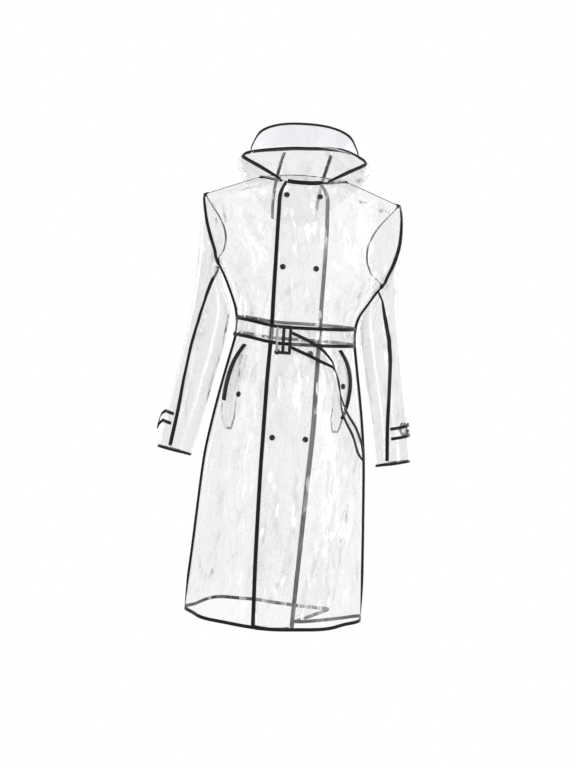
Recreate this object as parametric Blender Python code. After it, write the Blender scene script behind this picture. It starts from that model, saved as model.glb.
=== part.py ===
"""Clear belted raincoat with a hood, filled out as worn, with no wearer.

Metres, +Z up. The coat faces -Y and +X is the wearer's left. The origin is the middle of the neck, at the
height of the points where the shoulder seams meet the neckline.

Every panel is one wall of film, worked out from the tables of sections below. Bindings, the belt, the
pockets and the snaps are made from points of the panel that they lie on, moved out along its normal.
"""
import bpy
import math
from mathutils import Vector
from mathutils.bvhtree import BVHTree

WALL = 0.0012            # film, drawn at the thinnest wall that stays a solid
SEAM = 0.0003            # gap left at every seam
TAPE = 0.0009            # thickness of the binding tape
TAPE_WIDTH = 0.009
SEAM_HALF = 0.0045       # half the width of a tape that covers a seam
UNDER_DROP = 0.0052      # how far the under front lies inside the outer one
FOLDED_LIFT = 0.0006     # a tape folded round an edge stands this far off the film
ARMHOLE_LIFT = 0.0008    # the armhole tape bridges the curve of the shoulder
CORNER_LIFT = 0.0020     # and more where it turns at the tip and under the arm
CORNER_STEP = 0.0015
WIDE_FOLD = 0.0011       # a folded tape's distance from film that twists
DROP_FROM = 0.015        # height from which a tape is dropped on the facets under it

for old_object in list(bpy.data.objects):
    bpy.data.objects.remove(old_object, do_unlink=True)


# ---------------------------------------------------------------- tables of the body's sections
# Torso sections, hem to underarm. right and left are the wearer's half widths, front and back are depths,
# and each z column is that point's height, so a section may tilt.
TORSO_COLUMNS = ("z_right", "right", "z_left", "left", "z_front", "front", "z_back", "back")
TORSO = (
    (-1.069, 0.227, -1.069, 0.207, -1.083, 0.160, -1.079, 0.160),   # hem
    (-0.900, 0.213, -0.900, 0.199, -0.903, 0.146, -0.903, 0.146),   # knee
    (-0.716, 0.201, -0.716, 0.190, -0.716, 0.132, -0.716, 0.132),   # thigh
    (-0.600, 0.184, -0.600, 0.179, -0.600, 0.123, -0.600, 0.123),   # low hip
    (-0.496, 0.163, -0.496, 0.163, -0.496, 0.112, -0.496, 0.112),   # hip
    (-0.420, 0.145, -0.420, 0.148, -0.420, 0.101, -0.420, 0.101),   # under the belt
    (-0.376, 0.135, -0.376, 0.140, -0.376, 0.096, -0.376, 0.096),   # waist
    (-0.332, 0.139, -0.334, 0.147, -0.334, 0.101, -0.334, 0.099),   # over the belt
    (-0.276, 0.160, -0.290, 0.175, -0.285, 0.114, -0.285, 0.106),   # ribs
    (-0.204, 0.194, -0.243, 0.205, -0.225, 0.127, -0.225, 0.112),   # underarm
)
UNDERARM = len(TORSO) - 1

# Yoke sections, underarm to neck. The front panel of a section ends at front_left or front_right and
# front_y on the armhole, the back panel at back_left or back_right and back_y.
YOKE_COLUMNS = ("z_right", "z_left", "front_right", "front_left", "front_y",
                "back_right", "back_left", "back_y", "z_front", "front", "z_back", "back")
YOKE = (
    (-0.197, -0.236, 0.197, 0.209, -0.008, 0.190, 0.197, 0.019, -0.214, 0.129, -0.213, 0.1125),
    (-0.184, -0.221, 0.202, 0.216, -0.018, 0.184, 0.183, 0.043, -0.200, 0.130, -0.197, 0.1135),
    (-0.162, -0.191, 0.211, 0.229, -0.028, 0.180, 0.171, 0.064, -0.178, 0.130, -0.173, 0.1140),
    (-0.133, -0.150, 0.222, 0.240, -0.033, 0.184, 0.173, 0.069, -0.150, 0.129, -0.145, 0.1120),
    (-0.104, -0.110, 0.230, 0.243, -0.029, 0.198, 0.191, 0.058, -0.122, 0.126, -0.115, 0.1090),
    (-0.076, -0.078, 0.234, 0.241, -0.018, 0.218, 0.215, 0.033, -0.095, 0.121, -0.087, 0.1040),
    (-0.050, -0.050, 0.235, 0.235, 0.000, 0.235, 0.235, 0.000, -0.068, 0.113, -0.059, 0.0980),  # tip
    (-0.033, -0.033, 0.191, 0.191, 0.000, 0.191, 0.191, 0.000, -0.048, 0.105, -0.036, 0.0910),
    (-0.016, -0.016, 0.147, 0.147, 0.000, 0.147, 0.147, 0.000, -0.029, 0.097, -0.013, 0.0840),
    (0.000, 0.000, 0.103, 0.103, 0.000, 0.103, 0.103, 0.000, -0.010, 0.088, 0.012, 0.0760),     # neck
)
TIP = UNDERARM + 7
NECK = UNDERARM + len(YOKE)

# Free edges of the two fronts: x at each of these heights.
EDGE_COLUMNS = ("z", "outer", "under")
EDGES = (
    (-1.090, -0.062, 0.038),
    (-0.870, -0.067, 0.046),
    (-0.720, -0.067, 0.050),
    (-0.480, -0.064, 0.058),
    (-0.350, -0.061, 0.063),
    (-0.120, -0.061, 0.063),
    (-0.035, -0.060, 0.061),
    (0.000, -0.056, 0.056),
)

# Soft vertical folds of the skirt. angle is degrees round the body, 0 at the centre front and 90 at the
# wearer's left side; width is degrees; depth is millimetres, inward when negative.
FOLD_COLUMNS = ("angle", "width", "depth", "top")
FOLDS = (
    (-158.0, 9.0, -7.0, -0.50), (-136.0, 10.0, 8.0, -0.46), (-113.0, 9.0, -6.0, -0.55),
    (-70.0, 9.0, -6.0, -0.50), (-52.0, 8.0, 6.0, -0.48), (-34.0, 8.0, -6.5, -0.56),
    (-9.0, 10.0, 3.5, -0.60), (12.0, 7.0, -5.5, -0.52), (33.0, 8.0, 6.5, -0.50),
    (53.0, 8.0, -6.5, -0.58), (72.0, 9.0, 5.0, -0.48), (112.0, 9.0, -5.0, -0.50),
    (160.0, 9.0, 6.0, -0.52), (180.0, 8.0, -6.0, -0.58),
)
GATHER_DEPTH = 0.003     # film drawn in by the belt
GATHER_REACH = 0.070
WAIST_Z = -0.376
FOLD_GROWTH = 0.35       # length over which a skirt fold reaches its depth

# The deep fold in the lower back, on the wearer's left: the film turns in at the ridge, runs forward to
# the valley and comes back to the side seam.
DEEP_FOLD_TOP = -0.66
DEEP_FOLD_START = math.radians(40.0)     # angle from the centre back where it leaves the round of the back
DEEP_FOLD_PATH = ((0.133, 0.125), (0.134, 0.110), (0.108, 0.050), (0.078, -0.020), (0.050, -0.082),
                  (0.041, -0.100), (0.052, -0.106), (0.092, -0.080), (0.142, -0.042), (0.180, -0.004),
                  (0.196, 0.013), (0.205, 0.012), (0.207, 0.000))


# ---------------------------------------------------------------- small maths
def smooth(value, low, high):
    """0 below low, 1 above high, with a soft start and end."""
    t = min(1.0, max(0.0, (value - low) / (high - low)))
    return t * t * (3.0 - 2.0 * t)


def curve(values, t):
    """A smooth curve through equally spaced values, which may be numbers or vectors."""
    last = len(values) - 1
    t = min(float(last), max(0.0, t))
    i = min(last - 1, int(t))
    f = t - i
    p1, p2 = values[i], values[i + 1]
    p0 = values[i - 1] if i > 0 else p1 + (p1 - p2)
    p3 = values[i + 2] if i + 2 <= last else p2 + (p2 - p1)
    return 0.5 * (p1 * 2.0 + (p2 - p0) * f + (p0 * 2.0 - p1 * 5.0 + p2 * 4.0 - p3) * f * f
                  + (p1 * 3.0 - p0 - p2 * 3.0 + p3) * f * f * f)


def column(table, names, name):
    index = names.index(name)
    return [row[index] for row in table]


def along_table(table, names, key, name, value):
    """Reads column name at value of the rising column key."""
    keys = column(table, names, key)
    cells = column(table, names, name)
    if value <= keys[0]:
        return cells[0]
    for i in range(len(keys) - 1):
        if value <= keys[i + 1]:
            f = (value - keys[i]) / (keys[i + 1] - keys[i])
            return cells[i] + (cells[i + 1] - cells[i]) * f
    return cells[-1]


def side_name(side):
    """The wearer's left is +X."""
    return "left" if side > 0 else "right"


# ---------------------------------------------------------------- the body's surface
TORSO_VALUES = {name: column(TORSO, TORSO_COLUMNS, name) for name in TORSO_COLUMNS}
YOKE_VALUES = {name: column(YOKE, YOKE_COLUMNS, name) for name in YOKE_COLUMNS}


def section(station, side, face):
    """Edge x, edge y, edge z, depth and centre z of one quarter of the section at station."""
    name = side_name(side)
    if station <= UNDERARM:
        read = {key: curve(TORSO_VALUES[key], station) for key in TORSO_COLUMNS}
        return read[name], 0.0, read["z_" + name], read[face], read["z_" + face]
    t = station - UNDERARM
    upper = min(len(YOKE) - 1, int(math.ceil(t)) - 1)
    f = t - upper
    keys = (face + "_" + name, face + "_y", "z_" + name, face, "z_" + face)
    high = [YOKE_VALUES[key][upper] for key in keys]
    if upper > 0:
        low = [YOKE_VALUES[key][upper - 1] for key in keys]
    else:
        low = list(section(UNDERARM, side, face))
    return [a + (b - a) * f for a, b in zip(low, high)]


def span(station, side, face):
    """Half width and end angle of the ellipse that carries this quarter."""
    edge_x, edge_y, edge_z, depth, centre_z = section(station, side, face)
    end = math.acos(min(1.0, abs(edge_y) / depth))
    return edge_x / math.sin(end), end


def relief(turn, z):
    """Gathers at the belt and folds of the skirt, as a height above the plain section."""
    near_belt = math.exp(-((z - WAIST_Z) / GATHER_REACH) ** 2)
    waves = math.cos(8.0 * turn) + 0.5 * math.cos(11.0 * turn + 0.5 * math.pi)
    height = GATHER_DEPTH * near_belt * waves
    degrees = math.degrees(turn)
    for angle, width, depth, top in FOLDS:
        away = (degrees - angle + 180.0) % 360.0 - 180.0
        if abs(away) < 3.0 * width:
            height += 0.001 * depth * math.exp(-(away / width) ** 2) * smooth(top - z, 0.0, FOLD_GROWTH)
    return height


def plain_body(face, angle, station):
    """The section without relief. angle is signed, 0 at the centre and up to its end at the side."""
    side = 1.0 if angle >= 0.0 else -1.0
    edge_x, edge_y, edge_z, depth, centre_z = section(station, side, face)
    width, end = span(station, side, face)
    forward = -1.0 if face == "front" else 1.0
    share = math.sin(angle) ** 2 / math.sin(end) ** 2
    return Vector((width * math.sin(angle), forward * depth * math.cos(angle),
                   centre_z + (edge_z - centre_z) * share))


def body(face, angle, station):
    point = plain_body(face, angle, station)
    turn = angle if face == "front" else math.copysign(math.pi, angle) - angle
    fold = 0.0
    if face == "back" and angle > DEEP_FOLD_START and point.z < DEEP_FOLD_TOP:
        fold = smooth(DEEP_FOLD_TOP - point.z, 0.0, DEEP_FOLD_TOP - TORSO[0][0])
    outward = Vector((point.x, point.y * 1.6, 0.0)).normalized()
    point = point + outward * relief(turn, point.z) * (1.0 - min(1.0, 3.0 * fold))
    if fold > 0.0:
        t = (angle - DEEP_FOLD_START) / (0.5 * math.pi - DEEP_FOLD_START)
        edge_x, edge_y, edge_z, depth, centre_z = section(station, 1.0, "back")
        path = [Vector((x * edge_x / DEEP_FOLD_PATH[-1][0], y * depth / TORSO[0][-1], 0.0))
                for x, y in DEEP_FOLD_PATH]
        folded = curve(path, t * (len(path) - 1))
        folded.z = point.z
        point = point.lerp(folded, fold)
    return point


def body_normal(face, angle, station):
    """Normal that points out of the coat."""
    step_a, step_s = 0.01, 0.05
    side = 1.0 if angle >= 0.0 else -1.0
    end = span(station, side, face)[1]
    a0, a1 = angle - step_a, angle + step_a
    if side > 0.0:
        a1 = min(a1, end)
    else:
        a0 = max(a0, -end)
    s0, s1 = max(0.0, station - step_s), min(float(NECK), station + step_s)
    along = body(face, angle, s1) - body(face, angle, s0)
    across = body(face, a1, station) - body(face, a0, station)
    normal = across.cross(along) if face == "front" else along.cross(across)
    return normal.normalized()


def lifted(face, angle, station, lift):
    return body(face, angle, station) + body_normal(face, angle, station) * lift


def side_angle(face, side, station, distance):
    """Signed angle of the point that lies distance short of the panel's side edge."""
    width, end = span(station, side, face)
    depth = section(station, side, face)[3]
    speed = math.hypot(width * math.cos(end), depth * math.sin(end))
    return side * (end - distance / speed)


def angle_at_x(x, station):
    """Signed angle on the front of the point with this x."""
    side = 1.0 if x >= 0.0 else -1.0
    width, end = span(station, side, "front")
    return math.copysign(min(end, math.asin(min(1.0, abs(x) / width))), x)


def station_at(x, z):
    """Station of the point of the front with this x and z."""
    low, high = 0.0, float(NECK)
    for _ in range(30):
        middle = 0.5 * (low + high)
        if body("front", angle_at_x(x, middle), middle).z < z:
            low = middle
        else:
            high = middle
    return 0.5 * (low + high)


def on_front(x, z, lift):
    station = station_at(x, z)
    return lifted("front", angle_at_x(x, station), station, lift)


# ---------------------------------------------------------------- solids from points
def finish(name, vertices, faces, material):
    """Makes the object, with its faces turned outward."""
    volume = 0.0
    for face in faces:
        a = vertices[face[0]]
        for i in range(1, len(face) - 1):
            volume += a.dot(vertices[face[i]].cross(vertices[face[i + 1]]))
    if volume < 0.0:
        faces = [tuple(reversed(face)) for face in faces]
    mesh = bpy.data.meshes.new(name)
    mesh.from_pydata(vertices, [], faces)
    mesh.update()
    mesh.materials.append(material)
    piece = bpy.data.objects.new(name, mesh)
    bpy.context.scene.collection.objects.link(piece)
    return piece


def wall(name, outer, inner, material, closed=False):
    """A wall between two grids of points. closed joins the last column to the first."""
    rows, columns = len(outer), len(outer[0])
    vertices = [p for row in outer for p in row] + [p for row in inner for p in row]
    skin = rows * columns
    faces = []
    for i in range(rows - 1):
        for j in range(columns if closed else columns - 1):
            k = (j + 1) % columns
            a, b = i * columns + j, i * columns + k
            c, d = (i + 1) * columns + k, (i + 1) * columns + j
            faces.append((a, b, c))
            faces.append((a, c, d))
            faces.append((a + skin, c + skin, b + skin))
            faces.append((a + skin, d + skin, c + skin))
    for j in range(columns if closed else columns - 1):
        k = (j + 1) % columns
        top = (rows - 1) * columns
        faces.append((k, j, j + skin, k + skin))
        faces.append((top + j, top + k, top + k + skin, top + j + skin))
    if not closed:
        for i in range(rows - 1):
            a, d = i * columns, (i + 1) * columns
            b, c = a + columns - 1, d + columns - 1
            faces.append((a, d, d + skin, a + skin))
            faces.append((c, b, b + skin, c + skin))
    return finish(name, vertices, faces, material)


def sweep(name, sections, material, closed=False):
    """A bar through sections of equal numbers of points, its quads cut along their shorter diagonals."""
    size, count = len(sections[0]), len(sections)
    vertices = [p for part in sections for p in part]
    faces = []
    for i in range(count if closed else count - 1):
        j = (i + 1) % count
        for k in range(size):
            m = (k + 1) % size
            a, b, c, d = i * size + k, i * size + m, j * size + m, j * size + k
            if (vertices[a] - vertices[c]).length > (vertices[b] - vertices[d]).length:
                faces += [(a, b, d), (b, c, d)]
            else:
                faces += [(a, b, c), (a, c, d)]
    if not closed:
        faces.append(tuple(reversed(range(size))))
        faces.append(tuple(range((count - 1) * size, count * size)))
    return finish(name, vertices, faces, material)


def channel(name, edge, edge_normals, band, band_normals, near=FOLDED_LIFT, closed=False):
    """Folded tape round a free edge: over the outer face, round the edge and back on the inner face."""
    sections = []
    far = near + TAPE
    for e, n, b, m in zip(edge, edge_normals, band, band_normals):
        inward = (b - e).normalized()
        sections.append((
            b + m * near, b + m * far,
            e + n * far - inward * far, e - n * (WALL + far) - inward * far,
            b - m * (WALL + far), b - m * (WALL + near),
            e - n * (WALL + near) - inward * near, e + n * near - inward * near))
    return sweep(name, sections, BINDING, closed)


def ribbon(name, lines, normals, low):
    """Flat tape over rows of points: lines[k] are the points across it at section k."""
    sections = []
    for points, directions in zip(lines, normals):
        under = [p + n * low for p, n in zip(points, directions)]
        over = [p + n * (low + TAPE) for p, n in zip(points, directions)]
        sections.append(under + list(reversed(over)))
    return sweep(name, sections, BINDING)


def mesh_tree(name):
    """The facets of a finished piece, to lay others on."""
    mesh = bpy.data.objects[name].data
    return BVHTree.FromPolygons([v.co.copy() for v in mesh.vertices], [tuple(p.vertices) for p in mesh.polygons])


def laid_across(trees, point, across, normal):
    """Three points across a tape, dropped on the facets of the pieces under it."""
    line = []
    for share in (-1.0, 0.0, 1.0):
        beside = point + across * share
        hits = [tree.ray_cast(beside + normal * DROP_FROM, -normal, 1.5 * DROP_FROM) for tree in trees]
        hits = [(distance, hit) for hit, facing, index, distance in hits if hit]
        line.append(min(hits, key=lambda h: h[0])[1] if hits else trees[0].find_nearest(beside)[0])
    return line


# ---------------------------------------------------------------- materials
def linear(value):
    value /= 255.0
    return value / 12.92 if value <= 0.04045 else ((value + 0.055) / 1.055) ** 2.4


def make_material(name, hex_colour, roughness, metallic=0.0, alpha=1.0):
    material = bpy.data.materials.new(name)
    material.use_nodes = True
    shader = material.node_tree.nodes["Principled BSDF"]
    red, green, blue = (int(hex_colour[i:i + 2], 16) for i in (0, 2, 4))
    shader.inputs["Base Color"].default_value = (linear(red), linear(green), linear(blue), 1.0)
    shader.inputs["Roughness"].default_value = roughness
    shader.inputs["Metallic"].default_value = metallic
    shader.inputs["Alpha"].default_value = alpha
    return material


FILM = make_material("clear film", "EEEFF1", 0.12, alpha=0.25)
BINDING = make_material("black binding tape", "1E1D20", 0.45)
SNAP = make_material("black lacquered snap", "2A2829", 0.30)
BUCKLE = make_material("black buckle plastic", "222123", 0.32)
STEEL = make_material("bright steel", "B9BBBE", 0.25, metallic=1.0)


# ---------------------------------------------------------------- fronts and back
HEM_BAND = 0.055          # station of the line where the hem tape ends
TORSO_STATIONS = [0.5, 1.0, 2.0, 2.5, 3.0, 3.5, 4.0, 4.5, 5.0, 6.0, 7.0, 7.5, 8.0, 8.5]
STATIONS = [0.0, HEM_BAND] + TORSO_STATIONS + [float(k) for k in range(UNDERARM, NECK + 1)]
FRONT_COLUMNS = 13
BACK_COLUMNS = 12        # from the side seam on the wearer's right to the centre back
ROUND_COLUMNS = 4        # from the centre back to the deep fold
FOLD_COLUMNS_COUNT = 11  # across the deep fold


def edge_band(station):
    """Distance from the side edge to the line that the side or armhole tape reaches."""
    return SEAM_HALF if station < UNDERARM + 0.5 else TAPE_WIDTH


def front_angles(front, station):
    """Signed angles of one front's columns, from its free edge to its side seam."""
    side = 1.0 if front == "outer" else -1.0
    z = body("front", 0.0, station).z
    edge_x = along_table(EDGES, EDGE_COLUMNS, "z", front, z)
    free = angle_at_x(edge_x, station)
    free_band = angle_at_x(edge_x + side * TAPE_WIDTH, station)
    seam = side_angle("front", side, station, SEAM if station < UNDERARM else 0.0)
    seam_band = side_angle("front", side, station, edge_band(station))
    middle = [free_band + (seam_band - free_band) * k / (FRONT_COLUMNS - 1) for k in range(FRONT_COLUMNS)]
    return [free] + middle + [seam]


def under_lift(angle, station):
    """The under front drops inside where the outer front lies on it."""
    x = plain_body("front", angle, station).x
    return -UNDER_DROP * smooth(x, -0.122, -0.080)


def front_grid(front, lift):
    grid = []
    for station in STATIONS:
        line = []
        for angle in front_angles(front, station):
            drop = under_lift(angle, station) if front == "under" else 0.0
            line.append(lifted("front", angle, station, drop + lift))
        grid.append(line)
    return grid


def back_angles(station):
    """Signed angles of the back's columns, side seam to side seam. They crowd into the deep fold."""
    seam_far = side_angle("back", -1.0, station, SEAM)
    band_far = side_angle("back", -1.0, station, edge_band(station))
    seam_near = side_angle("back", 1.0, station, SEAM)
    band_near = side_angle("back", 1.0, station, edge_band(station))
    turn_in = DEEP_FOLD_START * band_near / (0.5 * math.pi)
    angles = [seam_far] + [band_far * (1.0 - k / BACK_COLUMNS) for k in range(BACK_COLUMNS)]
    angles += [turn_in * k / ROUND_COLUMNS for k in range(ROUND_COLUMNS)]
    angles += [turn_in + (band_near - turn_in) * k / FOLD_COLUMNS_COUNT for k in range(FOLD_COLUMNS_COUNT + 1)]
    return angles + [seam_near]


def back_grid(lift):
    return [[lifted("back", angle, station, lift) for angle in back_angles(station)] for station in STATIONS]


for front in ("outer", "under"):
    wall("front_" + front, front_grid(front, 0.0), front_grid(front, -WALL), FILM)
wall("back", back_grid(0.0), back_grid(-WALL), FILM)


# ---------------------------------------------------------------- tapes on the fronts and the back
def front_edge_tape(front):
    edge, edge_n, band, band_n = [], [], [], []
    for station in STATIONS:
        first, second = front_angles(front, station)[:2]
        second -= (second - first) * 2.0 * SEAM / TAPE_WIDTH
        drop = -UNDER_DROP if front == "under" else 0.0
        edge.append(lifted("front", first, station, drop))
        edge_n.append(body_normal("front", first, station))
        band.append(lifted("front", second, station, drop))
        band_n.append(body_normal("front", second, station))
    channel("front_%s_edge_tape" % front, edge, edge_n, band, band_n, WIDE_FOLD)


def hem_tape(name, face, angles_of, drop_of):
    """angles_of(station) gives the columns that the tape covers."""
    low, high = angles_of(0.0), angles_of(HEM_BAND)
    edge, edge_n, band, band_n = [], [], [], []
    for a, b in zip(low, high):
        edge.append(lifted(face, a, 0.0, drop_of(a, 0.0)))
        edge_n.append(body_normal(face, a, 0.0))
        band.append(lifted(face, b, HEM_BAND, drop_of(b, HEM_BAND)))
        band_n.append(body_normal(face, b, HEM_BAND))
    channel(name, edge, edge_n, band, band_n)


def front_hem_angles(front):
    def angles(station):
        return front_angles(front, station)[1:]
    return angles


def no_drop(angle, station):
    return 0.0


front_edge_tape("outer")
front_edge_tape("under")
hem_tape("hem_tape_outer", "front", front_hem_angles("outer"), no_drop)
hem_tape("hem_tape_under", "front", front_hem_angles("under"), under_lift)
hem_tape("hem_tape_back", "back", back_angles, no_drop)


def seam_tape(name, side, stations):
    """Flat tape over the seam between front and back: the side seam or the shoulder seam."""
    lines, normals = [], []
    for station in stations:
        parts = []
        for face, distance in (("front", SEAM_HALF), ("front", SEAM), ("back", SEAM_HALF)):
            angle = side_angle(face, side, station, distance)
            parts.append((body(face, angle, station), body_normal(face, angle, station)))
        lines.append([point for point, normal in parts])
        normals.append([normal for point, normal in parts])
    ribbon(name + "_" + side_name(side), lines, normals, SEAM)


SIDE_STATIONS = [HEM_BAND + 0.01] + TORSO_STATIONS + [UNDERARM - 0.3]
SHOULDER_STATIONS = [TIP + 0.26, TIP + 1.0, TIP + 2.0, NECK - 0.25]


def armhole_tape(side):
    """Tape round the armhole, on the edges of the front and the back panel."""
    sections = []

    def add(face, edge_angle, edge_station, band_angle, band_station, corner):
        edge = body(face, edge_angle, edge_station)
        edge_n = body_normal(face, edge_angle, edge_station)
        band = body(face, band_angle, band_station)
        band_n = body_normal(face, band_angle, band_station)
        low = ARMHOLE_LIFT + CORNER_LIFT * corner
        high = low + TAPE
        sections.append((edge + edge_n * low, edge + edge_n * high, band + band_n * high, band + band_n * low))

    def row(face, station, corner):
        add(face, side_angle(face, side, station, 0.0), station,
            side_angle(face, side, station, TAPE_WIDTH), station, corner)

    def turn_corner(face, station):
        add(face, side_angle(face, side, station, CORNER_STEP), station,
            side_angle(face, side, station, TAPE_WIDTH + CORNER_STEP), station, 0.5)

    right_angle = 0.5 * math.pi * side
    steps = [(UNDERARM + 0.25, 1.0), (UNDERARM + 0.5, 1.0), (UNDERARM + 0.75, 1.0), (UNDERARM + 1.0, 0.9),
             (UNDERARM + 1.5, 0.6)]
    steps += [(float(station), 0.2) for station in range(UNDERARM + 2, TIP - 1)]
    steps += [(TIP - 1.0, 0.5), (TIP - 0.5, 1.0)]
    add("front", right_angle, float(UNDERARM), right_angle, UNDERARM - 0.2, 1.0)
    turn_corner("front", float(UNDERARM))
    for station, corner in steps:
        row("front", station, corner)
    turn_corner("front", float(TIP))
    add("front", right_angle, float(TIP), right_angle, TIP + 0.2, 0.5)
    turn_corner("back", float(TIP))
    for station, corner in reversed(steps):
        row("back", station, corner)
    turn_corner("back", float(UNDERARM))
    sweep("armhole_tape_" + side_name(side), sections, BINDING, closed=True)


for side in (1.0, -1.0):
    seam_tape("side_seam_tape", side, SIDE_STATIONS)
    seam_tape("shoulder_seam_tape", side, SHOULDER_STATIONS)
    armhole_tape(side)


def neck_columns(station):
    """Columns of the neckline from the outer front's free edge round the back to the under front."""
    columns = [("front", angle) for angle in front_angles("outer", station)[1:-1]]
    columns.append(("front", span(station, 1.0, "front")[1]))
    columns += [("back", angle) for angle in reversed(back_angles(station)[1:-1])]
    columns.append(("front", -span(station, -1.0, "front")[1]))
    columns += [("front", angle) for angle in reversed(front_angles("under", station)[NECK_LAST:-1])]
    return columns


def neck_tape():
    """Tape over the top edge, from the outer front's free edge to where the under front goes inside."""
    low_station = NECK - 0.2
    lines, normals = [], []
    for top, low in zip(neck_columns(float(NECK)), neck_columns(low_station)):
        lines.append([body(*top, float(NECK)), body(*low, low_station)])
        normals.append([body_normal(*top, float(NECK)), body_normal(*low, low_station)])
    ribbon("neck_tape", lines, normals, 2.0 * SEAM)


NECK_LAST = 8             # the under front's last column that shows at the neck
neck_tape()


# ---------------------------------------------------------------- sleeves
# Sections from the upper arm to the cuff. seam is degrees from the front of the arm towards its outside.
SLEEVE_COLUMNS = ("z", "x", "y", "radius", "seam")
SLEEVES = {
    "right": ((-0.339, 0.206, 0.032, 0.0500, 34.0), (-0.422, 0.219, 0.028, 0.0490, 37.0),
              (-0.503, 0.236, 0.020, 0.0475, 33.0), (-0.577, 0.252, 0.011, 0.0455, 25.0),
              (-0.677, 0.276, -0.002, 0.0425, 16.0)),
    "left": ((-0.339, 0.206, 0.034, 0.0500, 27.0), (-0.422, 0.219, 0.030, 0.0490, 23.0),
             (-0.503, 0.234, 0.021, 0.0475, 8.0), (-0.577, 0.248, 0.011, 0.0455, -9.0),
             (-0.679, 0.263, -0.003, 0.0425, -24.0)),
}
SLEEVE_TILT = math.radians(11.0)
CUFF = 5.0                       # sleeve station of the cuff; 0 is the armhole, 1 the first section above
CUFF_BAND = CUFF - 0.09
SLEEVE_SEAM_STATIONS = (0.12, 0.2, 0.3, 0.4, 0.5, 0.6, 0.7, 0.8, 0.9, 1.0, 1.25, 1.5, 2.0, 2.5, 3.0, 3.25, 3.5,
                        3.75, 4.0, 4.25, 4.5, CUFF_BAND - 0.02)
SLEEVE_SEAM_START = 76.0         # sleeve angle of the seam at the armhole
SEAM_LIFT = 0.0010               # the seam tape bridges the facets of the sleeve
SEAM_LIFT_TOP = 0.0020           # and the tighter curves above its first section
SLEEVE_STATIONS = (0.0, 0.2, 0.4, 0.6, 0.8, 1.0, 1.5, 2.0, 3.0, 4.0, CUFF_BAND, CUFF)
LOOP_STATIONS = (15.0, 14.0, 13.0, 12.5, 12.0, 11.5, 11.0, 10.5, 10.0)
ARMHOLE_CLEARANCE = 0.0018      # the sleeve's wall lies just outside the panels' edges
UNDERARM_CLEARANCE = 0.0045     # more under the arm, where the tape lies between the two


def armhole_loop(side):
    """Points round the armhole and the sleeve angle of each: 0 at the tip, 90 degrees at the front."""
    right_angle = 0.5 * math.pi * side
    tip = body("front", right_angle, float(TIP))
    underarm = body("front", right_angle, float(UNDERARM))
    half = {}
    for face in ("front", "back"):
        points = [body(face, side_angle(face, side, s, 0.0), s) for s in LOOP_STATIONS]
        half[face] = [tip] + points + [underarm]
    points, angles = [], []
    for face in ("front", "back"):
        run = half[face]
        lengths = [0.0]
        for a, b in zip(run, run[1:]):
            lengths.append(lengths[-1] + (b - a).length)
        turns = [math.pi * length / lengths[-1] for length in lengths]
        if face == "front":
            points += run
            angles += turns
        else:
            points += list(reversed(run[:-1]))
            angles += [2.0 * math.pi - turn for turn in reversed(turns[:-1])]
    return points, angles


LOOPS = {side: armhole_loop(side) for side in (1.0, -1.0)}


def loop_point(side, angle):
    points, angles = LOOPS[side]
    angle %= 2.0 * math.pi
    for i in range(len(angles) - 1):
        if angle <= angles[i + 1] + 1e-9:
            f = (angle - angles[i]) / (angles[i + 1] - angles[i])
            point = points[i].lerp(points[i + 1], f)
            break
    under = max(0.0, -math.cos(angle)) ** 2
    return point + Vector((side * (ARMHOLE_CLEARANCE + UNDERARM_CLEARANCE * under), 0.0, 0.0))


def sleeve_axis(side, station):
    table = SLEEVES[side_name(side)]
    rows = {name: curve(column(table, SLEEVE_COLUMNS, name), station - 1.0) for name in SLEEVE_COLUMNS}
    return Vector((side * rows["x"], rows["y"], rows["z"])), rows["radius"], rows["seam"]


def sleeve(side, angle, station):
    outward = Vector((side * math.cos(SLEEVE_TILT), 0.0, math.sin(SLEEVE_TILT)))
    forward = Vector((0.0, -1.0, 0.0))
    centre, radius, seam = sleeve_axis(side, max(1.0, station))
    ring = centre + (outward * math.cos(angle) + forward * math.sin(angle)) * radius
    if station >= 1.0:
        return ring
    start = loop_point(side, angle)
    reach = 0.36 * (ring - start).length
    down = Vector((side * 0.12, 0.0, -1.0)).normalized()
    under = max(0.0, -math.cos(angle)) ** 3
    away = Vector((side * (0.12 + 0.36 * under), 0.35 * max(0.0, -math.sin(angle)), -1.0)).normalized()
    first, second = start + away * reach, ring - down * reach
    t = station
    return (start * (1 - t) ** 3 + first * (3 * t * (1 - t) ** 2)
            + second * (3 * t * t * (1 - t)) + ring * t ** 3)


def sleeve_normal(side, angle, station):
    across = sleeve(side, angle + 0.04, station) - sleeve(side, angle - 0.04, station)
    low, high = max(0.0, station - 0.03), min(CUFF, station + 0.03)
    along = sleeve(side, angle, high) - sleeve(side, angle, low)
    normal = across.cross(along).normalized()
    return normal * side


def make_sleeve(side):
    name = side_name(side)
    angles = LOOPS[side][1][:-1]
    outer, inner = [], []
    for station in SLEEVE_STATIONS:
        outer.append([sleeve(side, angle, station) for angle in angles])
        inner.append([sleeve(side, angle, station) - sleeve_normal(side, angle, station) * WALL
                      for angle in angles])
    wall("sleeve_" + name, outer, inner, FILM, closed=True)
    edge = [sleeve(side, angle, CUFF) for angle in angles]
    edge_n = [sleeve_normal(side, angle, CUFF) for angle in angles]
    band = [sleeve(side, angle, CUFF_BAND) for angle in angles]
    band_n = [sleeve_normal(side, angle, CUFF_BAND) for angle in angles]
    channel("cuff_tape_" + name, edge, edge_n, band, band_n, closed=True)


def seam_angle(side, station):
    seam = sleeve_axis(side, max(1.0, station))[2]
    angle = math.radians(90.0 - seam)
    start = math.radians(SLEEVE_SEAM_START)
    return angle + (start - angle) * (1.0 - smooth(station, 0.0, 1.0))


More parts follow.
